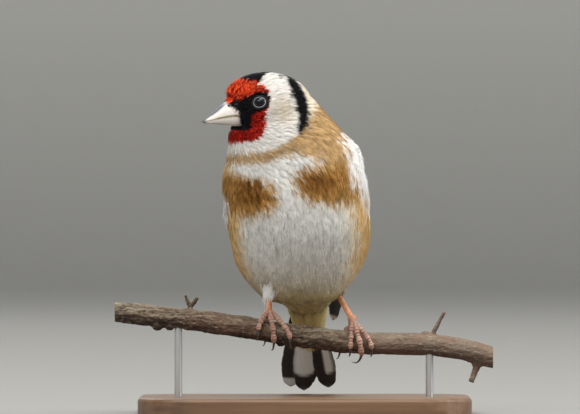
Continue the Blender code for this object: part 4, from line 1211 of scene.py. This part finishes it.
def makeWing(name, side):
    sheet = VaneSheet()
    for kind, (count, rootShare, rootAngles, tipShares, tipAngles, half, height, rise) in wingTiers.items():
        fold = wingFold[side] if kind == "primary" else 0.0
        for k in range(count):
            u = k / (count - 1)  # 0 at the wing's lower edge, 1 at the back
            root = (rootShare, rootAngles[0] + (rootAngles[1] - rootAngles[0]) * u)
            reach = tipShares[0] + (tipShares[1] - tipShares[0]) * u**1.25
            tip = (reach, tipAngles[0] + fold + (tipAngles[1] - tipAngles[0]) * u)
            layWingVane(sheet, side, root, tip, half, height + rise * k, kind)
    return sheet.finish(name)


def wingArm(name, side):
    # the fleshy arm under the coverts, a closed slab on the wing's sheet
    bm = bmesh.new()
    outline = wingPad["outline"]

    def place(u, v):
        share = outline[0][0] + u * (outline[-1][0] - outline[0][0])
        first, last = readTable(outline, share).T
        turn, closed = 2 * math.pi * v, closedEnds(u)
        angle = (first + last) / 2 + (last - first) / 2 * np.cos(turn) * closed
        return wingPoints(side, share, angle, wingPad["thick"] * (0.5 + 0.45 * np.sin(turn) * closed))

    wrapGrid(bm, 24, 49, place)
    made = newObject(name, bm, outward=True)
    paintVertices(made.data, Paint(wingDye, "sooty", len(made.data.vertices)).colours, "vane")
    return made


def wingTufts(name, side, finish):
    # small coverts that cover the arm and the bend of the wing
    rng = np.random.default_rng(23 + side)
    count = wingTuft["count"]
    share = rng.uniform(*wingTuft["shares"], count)
    first, last = readTable(wingPad["outline"], share).T
    angle = first - 2 + (last - first + 6) * rng.random(count)
    length = rng.uniform(*wingTuft["lengths"], count)
    half = rng.uniform(*wingTuft["halves"], count)

    def step(t):
        there = share + t * length / wingSheet["length"]
        place = wingPoints(side, there, angle, wingPad["thick"] * 0.95 + wingTuft["over"])
        return place, unit(wingPoints(side, there, angle, wingPad["thick"] * 2) - place)

    def colour(_, t):
        shade = rng.normal(1.0, 0.15, (count, 1, 1, 1))
        tip = ease(t[..., None], 0.6, 1.0) * rng.uniform(0.0, 0.8, (count, 1, 1, 1))
        made = np.array(wingDye["sooty"]) * shade * (1 - tip) + np.array(wingDye["buff"]) * tip * 0.5
        return made.reshape(-1, 3)

    spots = np.stack([share * 0.5 + 0.1, angle / 180 + 0.2], 1)
    growFeathers(name, "body_plumage", finish, laidLines(step), spots, (half, wingTuft["depth"], 0.0),
                 wingTuft["fan"], colour, rng)


# Tail

tailShape = {
    "length": 56.0,
    "root": 17.0,
    "fork": 4.0,
    "uneven": 1.5,  # how much shorter the left half is
    "spread": {1: (2.7, 4.4), -1: (1.0, 3.5)},  # side place of the middle and the outer tip
    "top": 0.7,
    "layer": 0.3,
    "half": 2.9,
    "count": 6,
    "loose": (4, -7.6, 54.6),  # which of the right half lies apart, its side place and its length
    "whiteFrom": {1: 3, -1: 1},  # first vane with a white patch, counted from the middle
    # how far the white runs across a vane, from -1 at its outer edge to 1 at the inner one
    "white": {1: (-0.74, -0.04), -1: (-0.8, 1.6)},
}
tailCovert = {
    "count": 420,
    "below": 0.62,  # share of them that lie under the tail
    "starts": (14.0, 29.0),
    "turns": (0.08, 0.92),
    "lengths": (6.5, 9.5),
    "halves": (1.2, 1.7),
    "depth": 0.7,
    "fan": (26, 0.11),
}


def tailVaneColours(side, k, loose):
    def colour(share, across, way):
        paint = Paint(wingDye, "black", len(share))
        inner = across * -side  # 1 at the edge nearer the tail's middle
        if k >= tailShape["whiteFrom"][side] and not loose:
            first, last = tailShape["white"][side]
            patch = ease(share, 0.16, 0.24) * (1 - ease(share + 0.05 * across**2, 0.81, 0.85))
            web = ease(inner, first - 0.1, first + 0.06) * (1 - ease(inner, last - 0.06, last + 0.1))
            paint.lay("white", patch * web)
        tip = 0.9 if loose else 0.975
        paint.lay("white", ease(share, tip - 0.008, tip + 0.01) * (0.85 if k < 3 or loose else 0.35))
        paint.lay("shaft", np.exp(-(way / 0.1) ** 2) * 0.5 * (paint.colours[:, 0] < 0.3))
        return paint.colours

    return colour


def makeTail(name):
    sheet = VaneSheet()
    shape = tailShape
    for side in (-1, 1):
        left = side > 0
        for k in range(shape["count"]):
            u = k / (shape["count"] - 1)
            length = shape["length"] - shape["fork"] * (1 - u) ** 1.4 - shape["uneven"] * left
            inner, outer = shape["spread"][side]
            reach = side * (inner + (outer - inner) * u**0.8)
            above = shape["top"] - shape["layer"] * (k + 0.5 * left)
            loose = not left and k == shape["loose"][0]
            if loose:
                reach, length = shape["loose"][1:]

            def place(share, way, level, reach=reach, length=length, above=above):
                along = shape["root"] + (length - shape["root"]) * share
                return tailPoints(along, reach * (0.45 + 0.55 * share) + way, above - level)

            sheet.lay(place, shape["half"], vaneShape["tail"], length - shape["root"],
                      tailVaneColours(side, k, loose), k * 3 + side)
    return sheet.finish(name)


def tailCoverts(name, surface, finish):
    # long soft feathers over and under the tail's root
    rng = np.random.default_rng(31)
    count = tailCovert["count"]
    way = np.where(rng.random(count) < tailCovert["below"], -1.0, 1.0)  # below or above the tail
    along = rng.uniform(*tailCovert["starts"], count)
    turn = rng.uniform(*tailCovert["turns"], count) * math.pi
    length = rng.uniform(*tailCovert["lengths"], count) * np.where(way < 0, 1.0, 0.8)
    half = rng.uniform(*tailCovert["halves"], count)
    up = unit(tailPoints(0.0, np.cos(turn) * 0.5, way * np.sin(turn)) - tailPoints(0.0, 0.0, 0.0))

    def step(t):
        there = along + t * length
        wide, thick = readTable(skinShape["coverts"], there).T
        return tailPoints(there, wide * np.cos(turn), way * thick * np.sin(turn) - 0.3), up

    # painted shade: the coverts under the tail take the darker, olive colour of the shaded vent
    low = np.array(dye["shadedVent"]) * 1.25
    high = np.array(dye["brown"]) * 0.6 + np.array(dye["cream"]) * 0.25
    tip = np.where(way[:, None, None, None] < 0, low, high)
    colour = rootToTip(tip * 0.7, tip, (0.0, 0.6), rng.normal, (1.0, 0.06))
    growLaid(name, "body_plumage", finish, surface, step, half, tailCovert, colour, rng)


# Legs and feet: scaly skin over the shank and the toes

perchLine = (  # x, height and radius along the branch
    (-58.0, 31.6, 3.2), (-47.0, 30.4, 3.5), (-35.0, 29.2, 3.4), (-25.0, 28.0, 3.6), (-15.0, 26.5, 3.6),
    (-4.0, 24.6, 3.65), (6.0, 23.3, 3.7), (16.0, 22.1, 3.6), (27.0, 21.7, 3.55), (40.0, 21.4, 3.7),
    (50.0, 20.0, 3.6), (56.0, 18.6, 3.8), (60.5, 17.4, 3.5),
)
legShape = {
    "places": {  # heel and foot joint
        "left": ((10.9, 9.3, 38.6), (16.4, -0.3, 29.3)),
        "right": ((-9.4, 9.0, 40.0), (-9.7, -0.3, 31.2)),
    },
    "toes": {  # name to side reach, end angle round the perch, thickness, claw side reach, claw lift
        "left": {"inner": (-0.6, 112.0, 0.82, -0.6, 0.0), "middle": (2.8, 138.0, 0.9, -3.2, 1.9),
                 "outer": (6.0, 110.0, 0.8, -0.4, 0.0), "hind": (-3.8, -122.0, 0.9, -1.4, 1.2)},
        "right": {"inner": (6.6, 104.0, 0.8, 0.5, 0.0), "middle": (1.6, 128.0, 0.88, -1.0, 1.3),
                  "outer": (-3.2, 92.0, 0.8, -0.6, 0.0), "hind": (-1.0, -112.0, 0.9, -1.0, 0.6)},
    },
    "gap": 0.3,  # between a toe and the branch
    "bark": 0.045,  # how much the bark adds to the branch's radius
    "shank": 0.86,
    "shankLength": 13.5,
    "joint": 1.5,
    "start": 24.0,  # angle round the perch where a toe's arch begins, and where it ends
    "flat": 62.0,
    "arch": 3.4,
    "hindArch": 0.6,
    "knuckles": 3.5,
    "scuteLength": 1.0,
    "toeScute": 0.26,
    "shankScute": 0.16,
    "voxel": 0.13,
}
clawShape = {"back": 0.4, "sweep": 55.0, "root": 0.6, "tip": 0.05, "clearTip": 0.12, "arch": 0.5}


def perchAt(x):
    return readTable(perchLine, x).T


def roundPerch(x, angle, clear):
    height, radius = perchAt(x)
    reach = radius * (1 + legShape["bark"]) + clear
    a = np.radians(angle)
    return np.stack([x, -reach * np.sin(a), height + reach * np.cos(a)], 1)


def smoothPath(points, share):
    rows = np.concatenate([np.linspace(0, 1, len(points))[:, None], points], 1)
    return readTable([tuple(row) for row in rows], share)


def tubeAlong(bm, points, radius, out, count, around):
    # a closed tube; radius(share, turn) may swell it, and out tells which way its top looks at each share
    def place(u, v):
        here = smoothPath(points, u)
        before, after = (smoothPath(points, np.clip(u + step, 0.0, 1.0)) for step in (-0.01, 0.01))
        way = unit(after - before)
        top = out(here)
        top = unit(top - way * np.sum(top * way, axis=1, keepdims=True))
        side = np.cross(way, top)
        turn = 2 * math.pi * v
        r = radius(u, turn) * closedEnds(u)
        return here + top * (np.cos(turn) * r)[:, None] + side * (np.sin(turn) * r)[:, None]

    wrapGrid(bm, count, around, place)


def scutes(share, turn, length, deep):
    # overlapping plates on the top of a toe or the front of a shank
    step = (share * length / legShape["scuteLength"]) % 1.0
    return deep * (step - 0.5) * np.clip(np.cos(turn), 0, 1) ** 0.5


def awayFromPerch(places):
    height, _ = perchAt(places[:, 0])
    return unit(np.stack([places[:, 0] * 0, places[:, 1], places[:, 2] - height], 1))


def toePoints(key, toe):
    reach, end, thick, _, _ = toe
    joint = np.array(legShape["places"][key][1])
    hand = math.copysign(1.0, end)
    arch = legShape["arch"] if hand > 0 else legShape["hindArch"]
    angles = np.linspace(legShape["start"] * hand, end, 8)
    rise = arch * np.maximum(0.0, 1 - np.abs(angles) / legShape["flat"]) ** 1.5
    x = joint[0] + reach * np.sin(np.arange(1, 9) / 8 * math.pi / 2)
    return np.concatenate([joint[None, :], roundPerch(x, angles, legShape["gap"] + thick * 1.02 + rise)])


def hollows(mesh):
    # how far each vertex lies below its neighbours
    places, normals = meshPoints(mesh), meshNormals(mesh)
    pairs = readAll(mesh.edges, "vertices", 2, np.int32)
    number = np.bincount(pairs.ravel(), minlength=len(places))

    def around(values):
        total = np.zeros_like(values)
        for here, there in ((0, 1), (1, 0)):
            np.add.at(total, pairs[:, here], values[pairs[:, there]])
        return total / number.reshape((-1,) + (1,) * (values.ndim - 1))

    return around(np.sum((around(places) - places) * normals, axis=1))


def makeLeg(name, key):
    bm = bmesh.new()
    heel, joint = (np.array(place) for place in legShape["places"][key])
    waves = 2 * math.pi * legShape["knuckles"]
    for toe in legShape["toes"][key].values():
        thick = toe[2]
        points = toePoints(key, toe)
        length = np.linalg.norm(np.diff(points, axis=0), axis=1).sum()

        def radius(share, turn, thick=thick, length=length):
            knuckle = 1 + 0.16 * np.cos(share * waves) - 0.08 * share
            pad = 0.1 * np.clip(-np.cos(turn), 0, 1) * np.sin(share * waves) ** 2
            return thick * (knuckle + pad) + scutes(share, turn, length, legShape["toeScute"])

        tubeAlong(bm, points, radius, awayFromPerch, 120, 25)
    way = unit(joint - heel)
    shank = np.linspace(heel + way * 0.4, joint - way * 0.1, 6)

    def shankRadius(share, turn):
        swell = 1 + 0.28 * (1 - ease(share, 0.0, 0.16)) + 0.3 * ease(share, 0.84, 1.0)
        plates = scutes(share, turn, legShape["shankLength"], legShape["shankScute"])
        return legShape["shank"] * swell + plates

    tubeAlong(bm, shank, shankRadius, lambda here: here * 0 + np.array([0.25, -1.0, 0.3]), 140, 25)
    ball = bmesh.ops.create_uvsphere(bm, u_segments=20, v_segments=14, radius=legShape["joint"])["verts"]
    bmesh.ops.translate(bm, verts=ball, vec=joint)
    made = remeshed(newObject(name, bm, outward=True), legShape["voxel"], 2)
    shin = ease(meshPoints(made.data)[:, 2] - joint[2], -0.5, 2.5)
    # dark lines in the hollows between the scales: partly the skin's darker seams and partly painted shade
    line = ease(hollows(made.data), 0.0005, 0.006)
    paintVertices(made.data, np.stack([shin, line, line * 0], 1), "shin")
    return made


def makeClaw(name, key, toe):
    reach, end, thick, clawReach, lift = toe
    hand = math.copysign(1.0, end)
    share = np.linspace(0, 1, 7)
    root, tip = clawShape["root"], clawShape["tip"]
    clear = legShape["gap"] + thick * 1.08 * (1 - share) + lift * share
    clear += (root + (clawShape["clearTip"] - root) * share) * share * 1.1
    clear += clawShape["arch"] * np.sin(math.pi * share)
    x = legShape["places"][key][1][0] + reach + clawReach * share**1.4
    points = roundPerch(x, end + hand * (clawShape["sweep"] * share - clawShape["back"]), clear)
    bm = bmesh.new()

    def thickness(u, turn):
        return (root + (tip - root) * u**0.8) * (1 - 0.22 * np.sin(turn) ** 2)

    tubeAlong(bm, points, thickness, awayFromPerch, 40, 17)
    return newObject(name, bm, outward=True)


ankle = {
    "count": 80,
    "root": (-9.7, 40.6),  # left place and height, where the feathers start and end
    "end": (-10.4, 35.2),
    "strays": (1.0, 1.2),
    "before": (0.9, 2.4),  # how far the ends stand in front of the shank
    "half": 0.9,
    "depth": 0.3,
    "fan": (9, 0.06),
}


def ankleTuft(name, surface, finish):
    # loose white feathers that hang from the belly over the top of the right shank
    rng = np.random.default_rng(53)
    count = ankle["count"]
    (rootX, rootZ), (endX, endZ) = (
        [rng.normal(place, stray, count) for place in ankle[key]]
        for key, stray in zip(("root", "end"), ankle["strays"])
    )
    root = np.stack([rootX, np.full(count, -30.0), rootZ], 1)
    for i, place in enumerate(root):
        hit = surface.tree.ray_cast(tuple(place), (0.0, 1.0, 0.0))[0]
        root[i] = hit or surface.tree.find_nearest(place)[0]
    heel, joint = (np.array(place) for place in legShape["places"]["right"])
    shankY = heel[1] + (joint - heel)[1] * (heel[2] - endZ) / (heel - joint)[2]
    end = np.stack([endX, shankY - rng.uniform(*ankle["before"], count), endZ], 1)

    def step(t):
        bulge = np.array([0.0, -1.0, -0.2]) * 0.6 * math.sin(math.pi * t**0.8)
        return root + (end - root) * t + bulge, np.tile([0.0, -0.97, -0.25], (count, 1))

    # painted light: the tuft takes the lighter, lit copy of the white
    litWhite = np.array(dye["litWhite"])
    colour = rootToTip(litWhite * 0.8, litWhite, (0.0, 0.5), rng.normal, (1.0, 0.05))
    growLaid(name, "body_plumage", finish, surface, step, ankle["half"], ankle, colour, rng)


# Perch: the branch with its knots and twigs, in rough bark

barkShape = {
    "voxel": 0.3,
    "sink": 0.12,
    "ridges": 0.26,
    "grain": 0.15,
    "pits": 0.25,
    "cracks": 0.24,
    "crackWide": 0.12,
    "evenFrom": (12.0, 22.0),  # x where the bark turns smoother
    "cuts": (-57.4, 59.9),  # x of the sawn ends
}


def makePerch(name):
    made = remeshed(newObject(name, copyNodes(("perch",))), barkShape["voxel"], 4)
    places, normals = meshPoints(made.data), meshNormals(made.data)
    lift = np.zeros(len(places))
    for i, (x, y, z) in enumerate(places):
        ridge = noise.fractal(Vector((x * 0.16, y * 0.75, z * 0.75)), 0.6, 2.1, 4)
        fine = noise.fractal(Vector((x * 0.9, y * 1.6, z * 1.6)), 0.7, 2.0, 3)
        crack = abs(noise.noise(Vector((x * 0.35 + 9.0, y * 1.3, z * 1.3))))
        pit = noise.noise(Vector((x * 0.55 + 40.0, y * 0.8, z * 0.8)))
        lift[i] = barkShape["ridges"] * ridge + barkShape["grain"] * fine
        lift[i] -= barkShape["cracks"] * max(0.0, 1 - crack / barkShape["crackWide"])
        lift[i] -= barkShape["pits"] * max(0.0, pit - 0.45)
    even = ease(places[:, 0], *barkShape["evenFrom"])
    lift *= 1 - 0.5 * even
    first, last = barkShape["cuts"]
    cut = (np.abs(normals[:, 0]) > 0.85) & ((places[:, 0] < first) | (places[:, 0] > last))
    lift[cut] *= 0.15
    setPoints(made.data, places + normals * (lift - barkShape["sink"])[:, None])
    # painted shade: lighter on raised bark and darker in cracks and pits, partly the bark's own tone and
    # partly shade in the hollows; then much darker on the underside and a little lighter on top of the smooth
    # part, as light falls from above
    shade = np.clip(0.5 + lift * 1.1, 0, 1)
    under = 1 - ease(normals[:, 2], -0.75, 0.35)
    shade = np.clip(shade * (1 - 0.85 * under) + 0.08 * even * (1 - under), 0, 1)
    paintVertices(made.data, np.stack([shade, cut.astype(float), even], 1), "bark")
    return made


# Finishes

def plumageFinish():
    made = Finish("plumage", Specular_IOR_Level=0.05)
    down = made.cloud(made.place(), 2400.0)
    colour = made.stained(made.attribute("plumage"), down * 0.3, (0.84, 0.82, 0.8))
    return made.done(colour, down, 0.1, 0.00005, (0.2, 0.6))


def skinFinish():
    made = Finish("skin under feathers", Roughness=0.85, Specular_IOR_Level=0.2)
    fleck = made.cloud(made.place(), 900.0)
    colour = made.stained(made.attribute("plumage"), fleck * 0.4, (0.62, 0.58, 0.54))
    return made.done(colour, fleck, 0.4, 0.0003)


def vaneFinish():
    made = Finish("flight feathers", Roughness=0.5, Specular_IOR_Level=0.4, Sheen_Weight=0.1)
    barbs = made.node("ShaderNodeMath", {"operation": "SINE"}, {0: made.attribute("barb", 2) * 18.0})
    return made.done(made.attribute("vane"), barbs, 0.35, 0.0001)


def hornFinish():
    made = Finish("bill horn", Specular_IOR_Level=0.45, Coat_Weight=0.15, Coat_Roughness=0.3)
    streak = made.cloud(made.place(), 1400.0, 5.0)
    colour = made.stained(made.attribute("horn"), streak * 0.35, (0.55, 0.42, 0.36))
    return made.done(colour, streak, 0.15, 0.0002, (0.25, 0.28))


def eyeFinish():
    made = Finish("eye", Roughness=0.05, Specular_IOR_Level=0.36, Specular_Tint=(0.72, 0.82, 1.0))
    made.set("Base Color", made.attribute("eye"))
    return made.material


def lidFinish():
    made = Finish("bare skin round the eye", Specular_IOR_Level=0.3)
    pores = made.cloud(made.place(), 5000.0)
    made.set("Roughness", 0.95 - made.attribute("eye", 2) * 2.0)
    colour = made.stained(made.attribute("eye"), pores * 0.4, (0.3, 0.3, 0.3))
    return made.done(colour, pores, 0.3, 0.0001)


def legFinish():
    made = Finish("leg skin", Specular_IOR_Level=0.4, Subsurface_Weight=0.15, Subsurface_Scale=0.0008)
    where = made.place()
    patch, pores = made.cloud(where, 260.0), made.cloud(where, 2600.0)
    shin, line, _ = made.parts("shin")
    toes = made.ramp(patch, (0.3, (0.25, 0.125, 0.09)), (0.5, (0.38, 0.22, 0.16)), (0.72, (0.56, 0.38, 0.29)))
    shank = made.ramp(patch, (0.3, (0.64, 0.26, 0.125)), (0.7, (0.86, 0.42, 0.22)))
    # the hollows' lines darken the colour: partly darker seams between scales and partly painted shade
    colour = made.mixed(line * 0.75, made.mixed(shin, toes, shank), (0.10, 0.04, 0.032))
    colour = made.stained(colour, pores * 0.4, (0.5, 0.36, 0.3))
    return made.done(colour, pores, 0.35, 0.0002, (0.3, 0.24))


def clawFinish():
    made = Finish("claw horn", Specular_IOR_Level=0.5, Coat_Weight=0.3, Coat_Roughness=0.15)
    streak = made.cloud(made.place(), 1200.0)
    colour = made.ramp(streak, (0.35, (0.018, 0.013, 0.012)), (0.6, (0.05, 0.035, 0.03)),
                       (0.8, (0.16, 0.11, 0.09)))
    return made.done(colour, streak, 0.15, 0.0001, (0.2, 0.22))


def barkFinish():
    made = Finish("bark", Specular_IOR_Level=0.25)
    where = made.place((0.5, 1.0, 1.0))
    broad, patch, fine = made.cloud(where, 120.0), made.cloud(where, 380.0), made.cloud(where, 1500.0, 6.0)
    # the first channel is the bark's relief tone with painted shade: darker in cracks, pits and on the
    # underside, lighter on top
    reliefAndShade, cut, even = made.parts("bark")
    colour = made.ramp(reliefAndShade * 0.7 + patch * 0.45 - 0.05, (0.12, (0.016, 0.011, 0.008)),
                       (0.34, (0.075, 0.048, 0.033)), (0.55, (0.175, 0.137, 0.093)),
                       (0.8, (0.33, 0.285, 0.205)))
    colour = made.mixed(even * 0.5, colour, (0.145, 0.10, 0.078))
    red = made.ramp(broad, (0.5, (0, 0, 0)), (0.66, (1, 1, 1)))
    colour = made.mixed(red * 0.4, colour, (0.17, 0.085, 0.055))
    pale = made.ramp(fine, (0.58, (0, 0, 0)), (0.68, (1, 1, 1)))
    colour = made.mixed(pale * 0.45, colour, (0.37, 0.34, 0.26))
    wood = made.mixed(patch, (0.42, 0.29, 0.17), (0.27, 0.17, 0.095))
    return made.done(made.mixed(cut, colour, wood), fine, 0.9, 0.0005, (0.25, 0.68))


def woodFinish():
    made = Finish("oiled walnut", Specular_IOR_Level=0.4, Coat_Weight=0.12, Coat_Roughness=0.35)
    warp = made.cloud(made.place((6.0, 60.0, 60.0)), 1.4, 5.0)
    grain = made.cloud(made.place((14.0, 420.0, 420.0)), 1.0, 6.0, 0.6)
    colour = made.ramp(warp * 0.55 + grain * 0.45, (0.32, (0.075, 0.038, 0.020)),
                       (0.5, (0.155, 0.082, 0.042)), (0.7, (0.235, 0.135, 0.070)))
    return made.done(colour, grain, 0.25, 0.0002, (0.2, 0.36))


def rodFinish():
    made = Finish("brushed steel", Metallic=1.0, Specular_IOR_Level=0.5)
    brush = made.cloud(made.place((2500.0, 2500.0, 60.0)), 1.0, 3.0)
    colour = made.mixed(brush, (0.55, 0.55, 0.56), (0.68, 0.68, 0.69))
    return made.done(colour, brush, 0.1, 0.0001, (0.2, 0.24))


# Stage: pale floor and soft studio light

stageLook = {  # in metres
    "floor": (0.25, 0.245, 0.23),
    "wallColour": (0.74, 0.73, 0.68),
    "flat": 4.6,
    "bend": 1.4,
    "wall": 1.4,
    "drop": 0.0002,
}


def makeStage():
    # a round bowl, alike from all sides
    flat, bend, wall, drop = (stageLook[key] for key in ("flat", "bend", "wall", "drop"))
    bm = bmesh.new()
    turns = np.linspace(0.0, math.pi / 2, 25)
    profile = [(0.0, 0.0)] + [(flat + math.sin(t) * bend, (1 - math.cos(t)) * bend) for t in turns]
    profile.append((flat + bend, bend + wall))
    verts = [bm.verts.new((reach, 0.0, height - drop)) for reach, height in profile]
    for first, second in zip(verts, verts[1:]):
        bm.edges.new((first, second))
    bmesh.ops.spin(bm, geom=bm.verts[:] + bm.edges[:], cent=(0, 0, 0), axis=(0, 0, 1), angle=2 * math.pi,
                   steps=96, use_merge=True)
    bmesh.ops.remove_doubles(bm, verts=bm.verts, dist=0.0001)
    floor = newObject("floor", bm, outward=True)
    finish = Finish("pale floor", Roughness=0.7, Specular_IOR_Level=0.3)
    height = finish.node("ShaderNodeSeparateXYZ", {}, {"Vector": finish.place()}, 2)
    colour = finish.ramp(height * 1.2, (0.0, stageLook["floor"]), (1.0, stageLook["wallColour"]))
    finish.set("Base Color", colour)
    floor.data.materials.append(finish.material)
    floor.data.shade_smooth()


lampAim = (0.0, 0.0, 0.065)
skyLight = {"Color": (0.95, 0.97, 1.0, 1.0), "Strength": 0.75}
lamps = {  # place in metres, width, height, watts, colour; all look at the bird's middle
    "key": ((0.4, -1.1, 2.9), 3.0, 1.7, 100.0, (1.0, 0.985, 0.95)),
    "fill": ((-1.2, -2.2, 1.7), 2.7, 0.4, 38.0, (0.97, 0.985, 1.0)),
    "side": ((2.7, -0.2, 1.0), 1.4, 1.4, 38.0, (1.0, 1.0, 1.0)),
    "rim": ((-0.9, 2.2, 1.6), 1.4, 1.4, 14.0, (1.0, 1.0, 1.0)),
}


def makeLight():
    for name, (place, width, height, watts, colour) in lamps.items():
        lamp = bpy.data.lights.new(name, "AREA")
        lamp.shape = "ELLIPSE"
        lamp.size = width
        lamp.size_y = height
        lamp.energy = watts
        lamp.color = colour
        holder = linked(name, lamp)
        holder.location = place
        holder.rotation_euler = (Vector(lampAim) - Vector(place)).to_track_quat("-Z", "Y").to_euler()
        holder.visible_camera = False
    world = bpy.data.worlds.new("studio")
    world.use_nodes = True
    for socket, value in skyLight.items():
        world.node_tree.nodes["Background"].inputs[socket].default_value = value
    bpy.context.scene.world = world


view = {"centre": (-3.1, 64.4), "wide": 181.25, "far": 3000.0, "sensor": 36.0}  # x and height, mm


def makeCamera():
    camera = bpy.data.cameras.new("camera")
    camera.sensor_width = view["sensor"]
    camera.lens = view["sensor"] * view["far"] / view["wide"]
    camera.clip_start = 0.01
    camera.clip_end = 100.0
    holder = linked("camera", camera)
    holder.location = (view["centre"][0] * mm, -view["far"] * mm, view["centre"][1] * mm)
    holder.rotation_euler = (math.pi / 2, 0.0, 0.0)
    bpy.context.scene.camera = holder


makeCamera()
makeStage()
makeLight()
print("goldfinch: camera, floor and light")

skin = makeSkin()
surface = Surface(skin)
paintVertices(skin.data, plumageColours(meshPoints(skin.data)))
feather = plumageFinish()
makeCoat(surface, feather)
tailCoverts("coat_tail", surface, feather)
keepPiece(skin, skinFinish(), skinShape["nodes"])
print("goldfinch: skin and coat")

horn, eye, lid = hornFinish(), eyeFinish(), lidFinish()
keepPiece(billHalf("bill_ridge", True), horn, ("bill_upper",))
keepPiece(billHalf("bill_keel", False), horn, ("bill_lower",))
for kind in ("bristles", "forelock"):
    billFringe(kind, surface, feather)
vane = vaneFinish()
leg, claw = legFinish(), clawFinish()
for word, side in (("left", 1), ("right", -1)):
    keepPiece(eyeBall("ball_" + word, side), eye, ("eye_" + word,))
    keepPiece(eyeRing("ring_" + word, side), lid)
    keepPiece(wingArm("arm_" + word, side), vane)
    wing = keepPiece(makeWing("vanes_" + word, side), vane, ("wing_" + word,))
    thicken(wing)
    wingTufts("coat_wing_" + word, side, feather)
    keepPiece(makeLeg("leg_" + word, word), leg, ("tarsus_" + word, "foot_" + word))
    for toe, sizes in legShape["toes"][word].items():
        nail = makeClaw(f"nail_{word}_{toe}", word, sizes)
        keepPiece(nail, claw, (f"claw_{word}_{toe}",))
thicken(keepPiece(makeTail("tail_vanes"), vane, ("tail",)))
ankleTuft("coat_ankle", surface, feather)
print("goldfinch: bill, eyes, wings, tail and feet")

keepPiece(makePerch("branch"), barkFinish(), ("perch",))
for node, makeFinish in (("base", woodFinish), ("rod_left", rodFinish), ("rod_right", rodFinish)):
    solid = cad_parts["stand_" + node]
    solid.data.materials.clear()
    solid.data.materials.append(makeFinish())
print("goldfinch: perch and stand")

bpy.context.scene.view_settings.view_transform = "Standard"
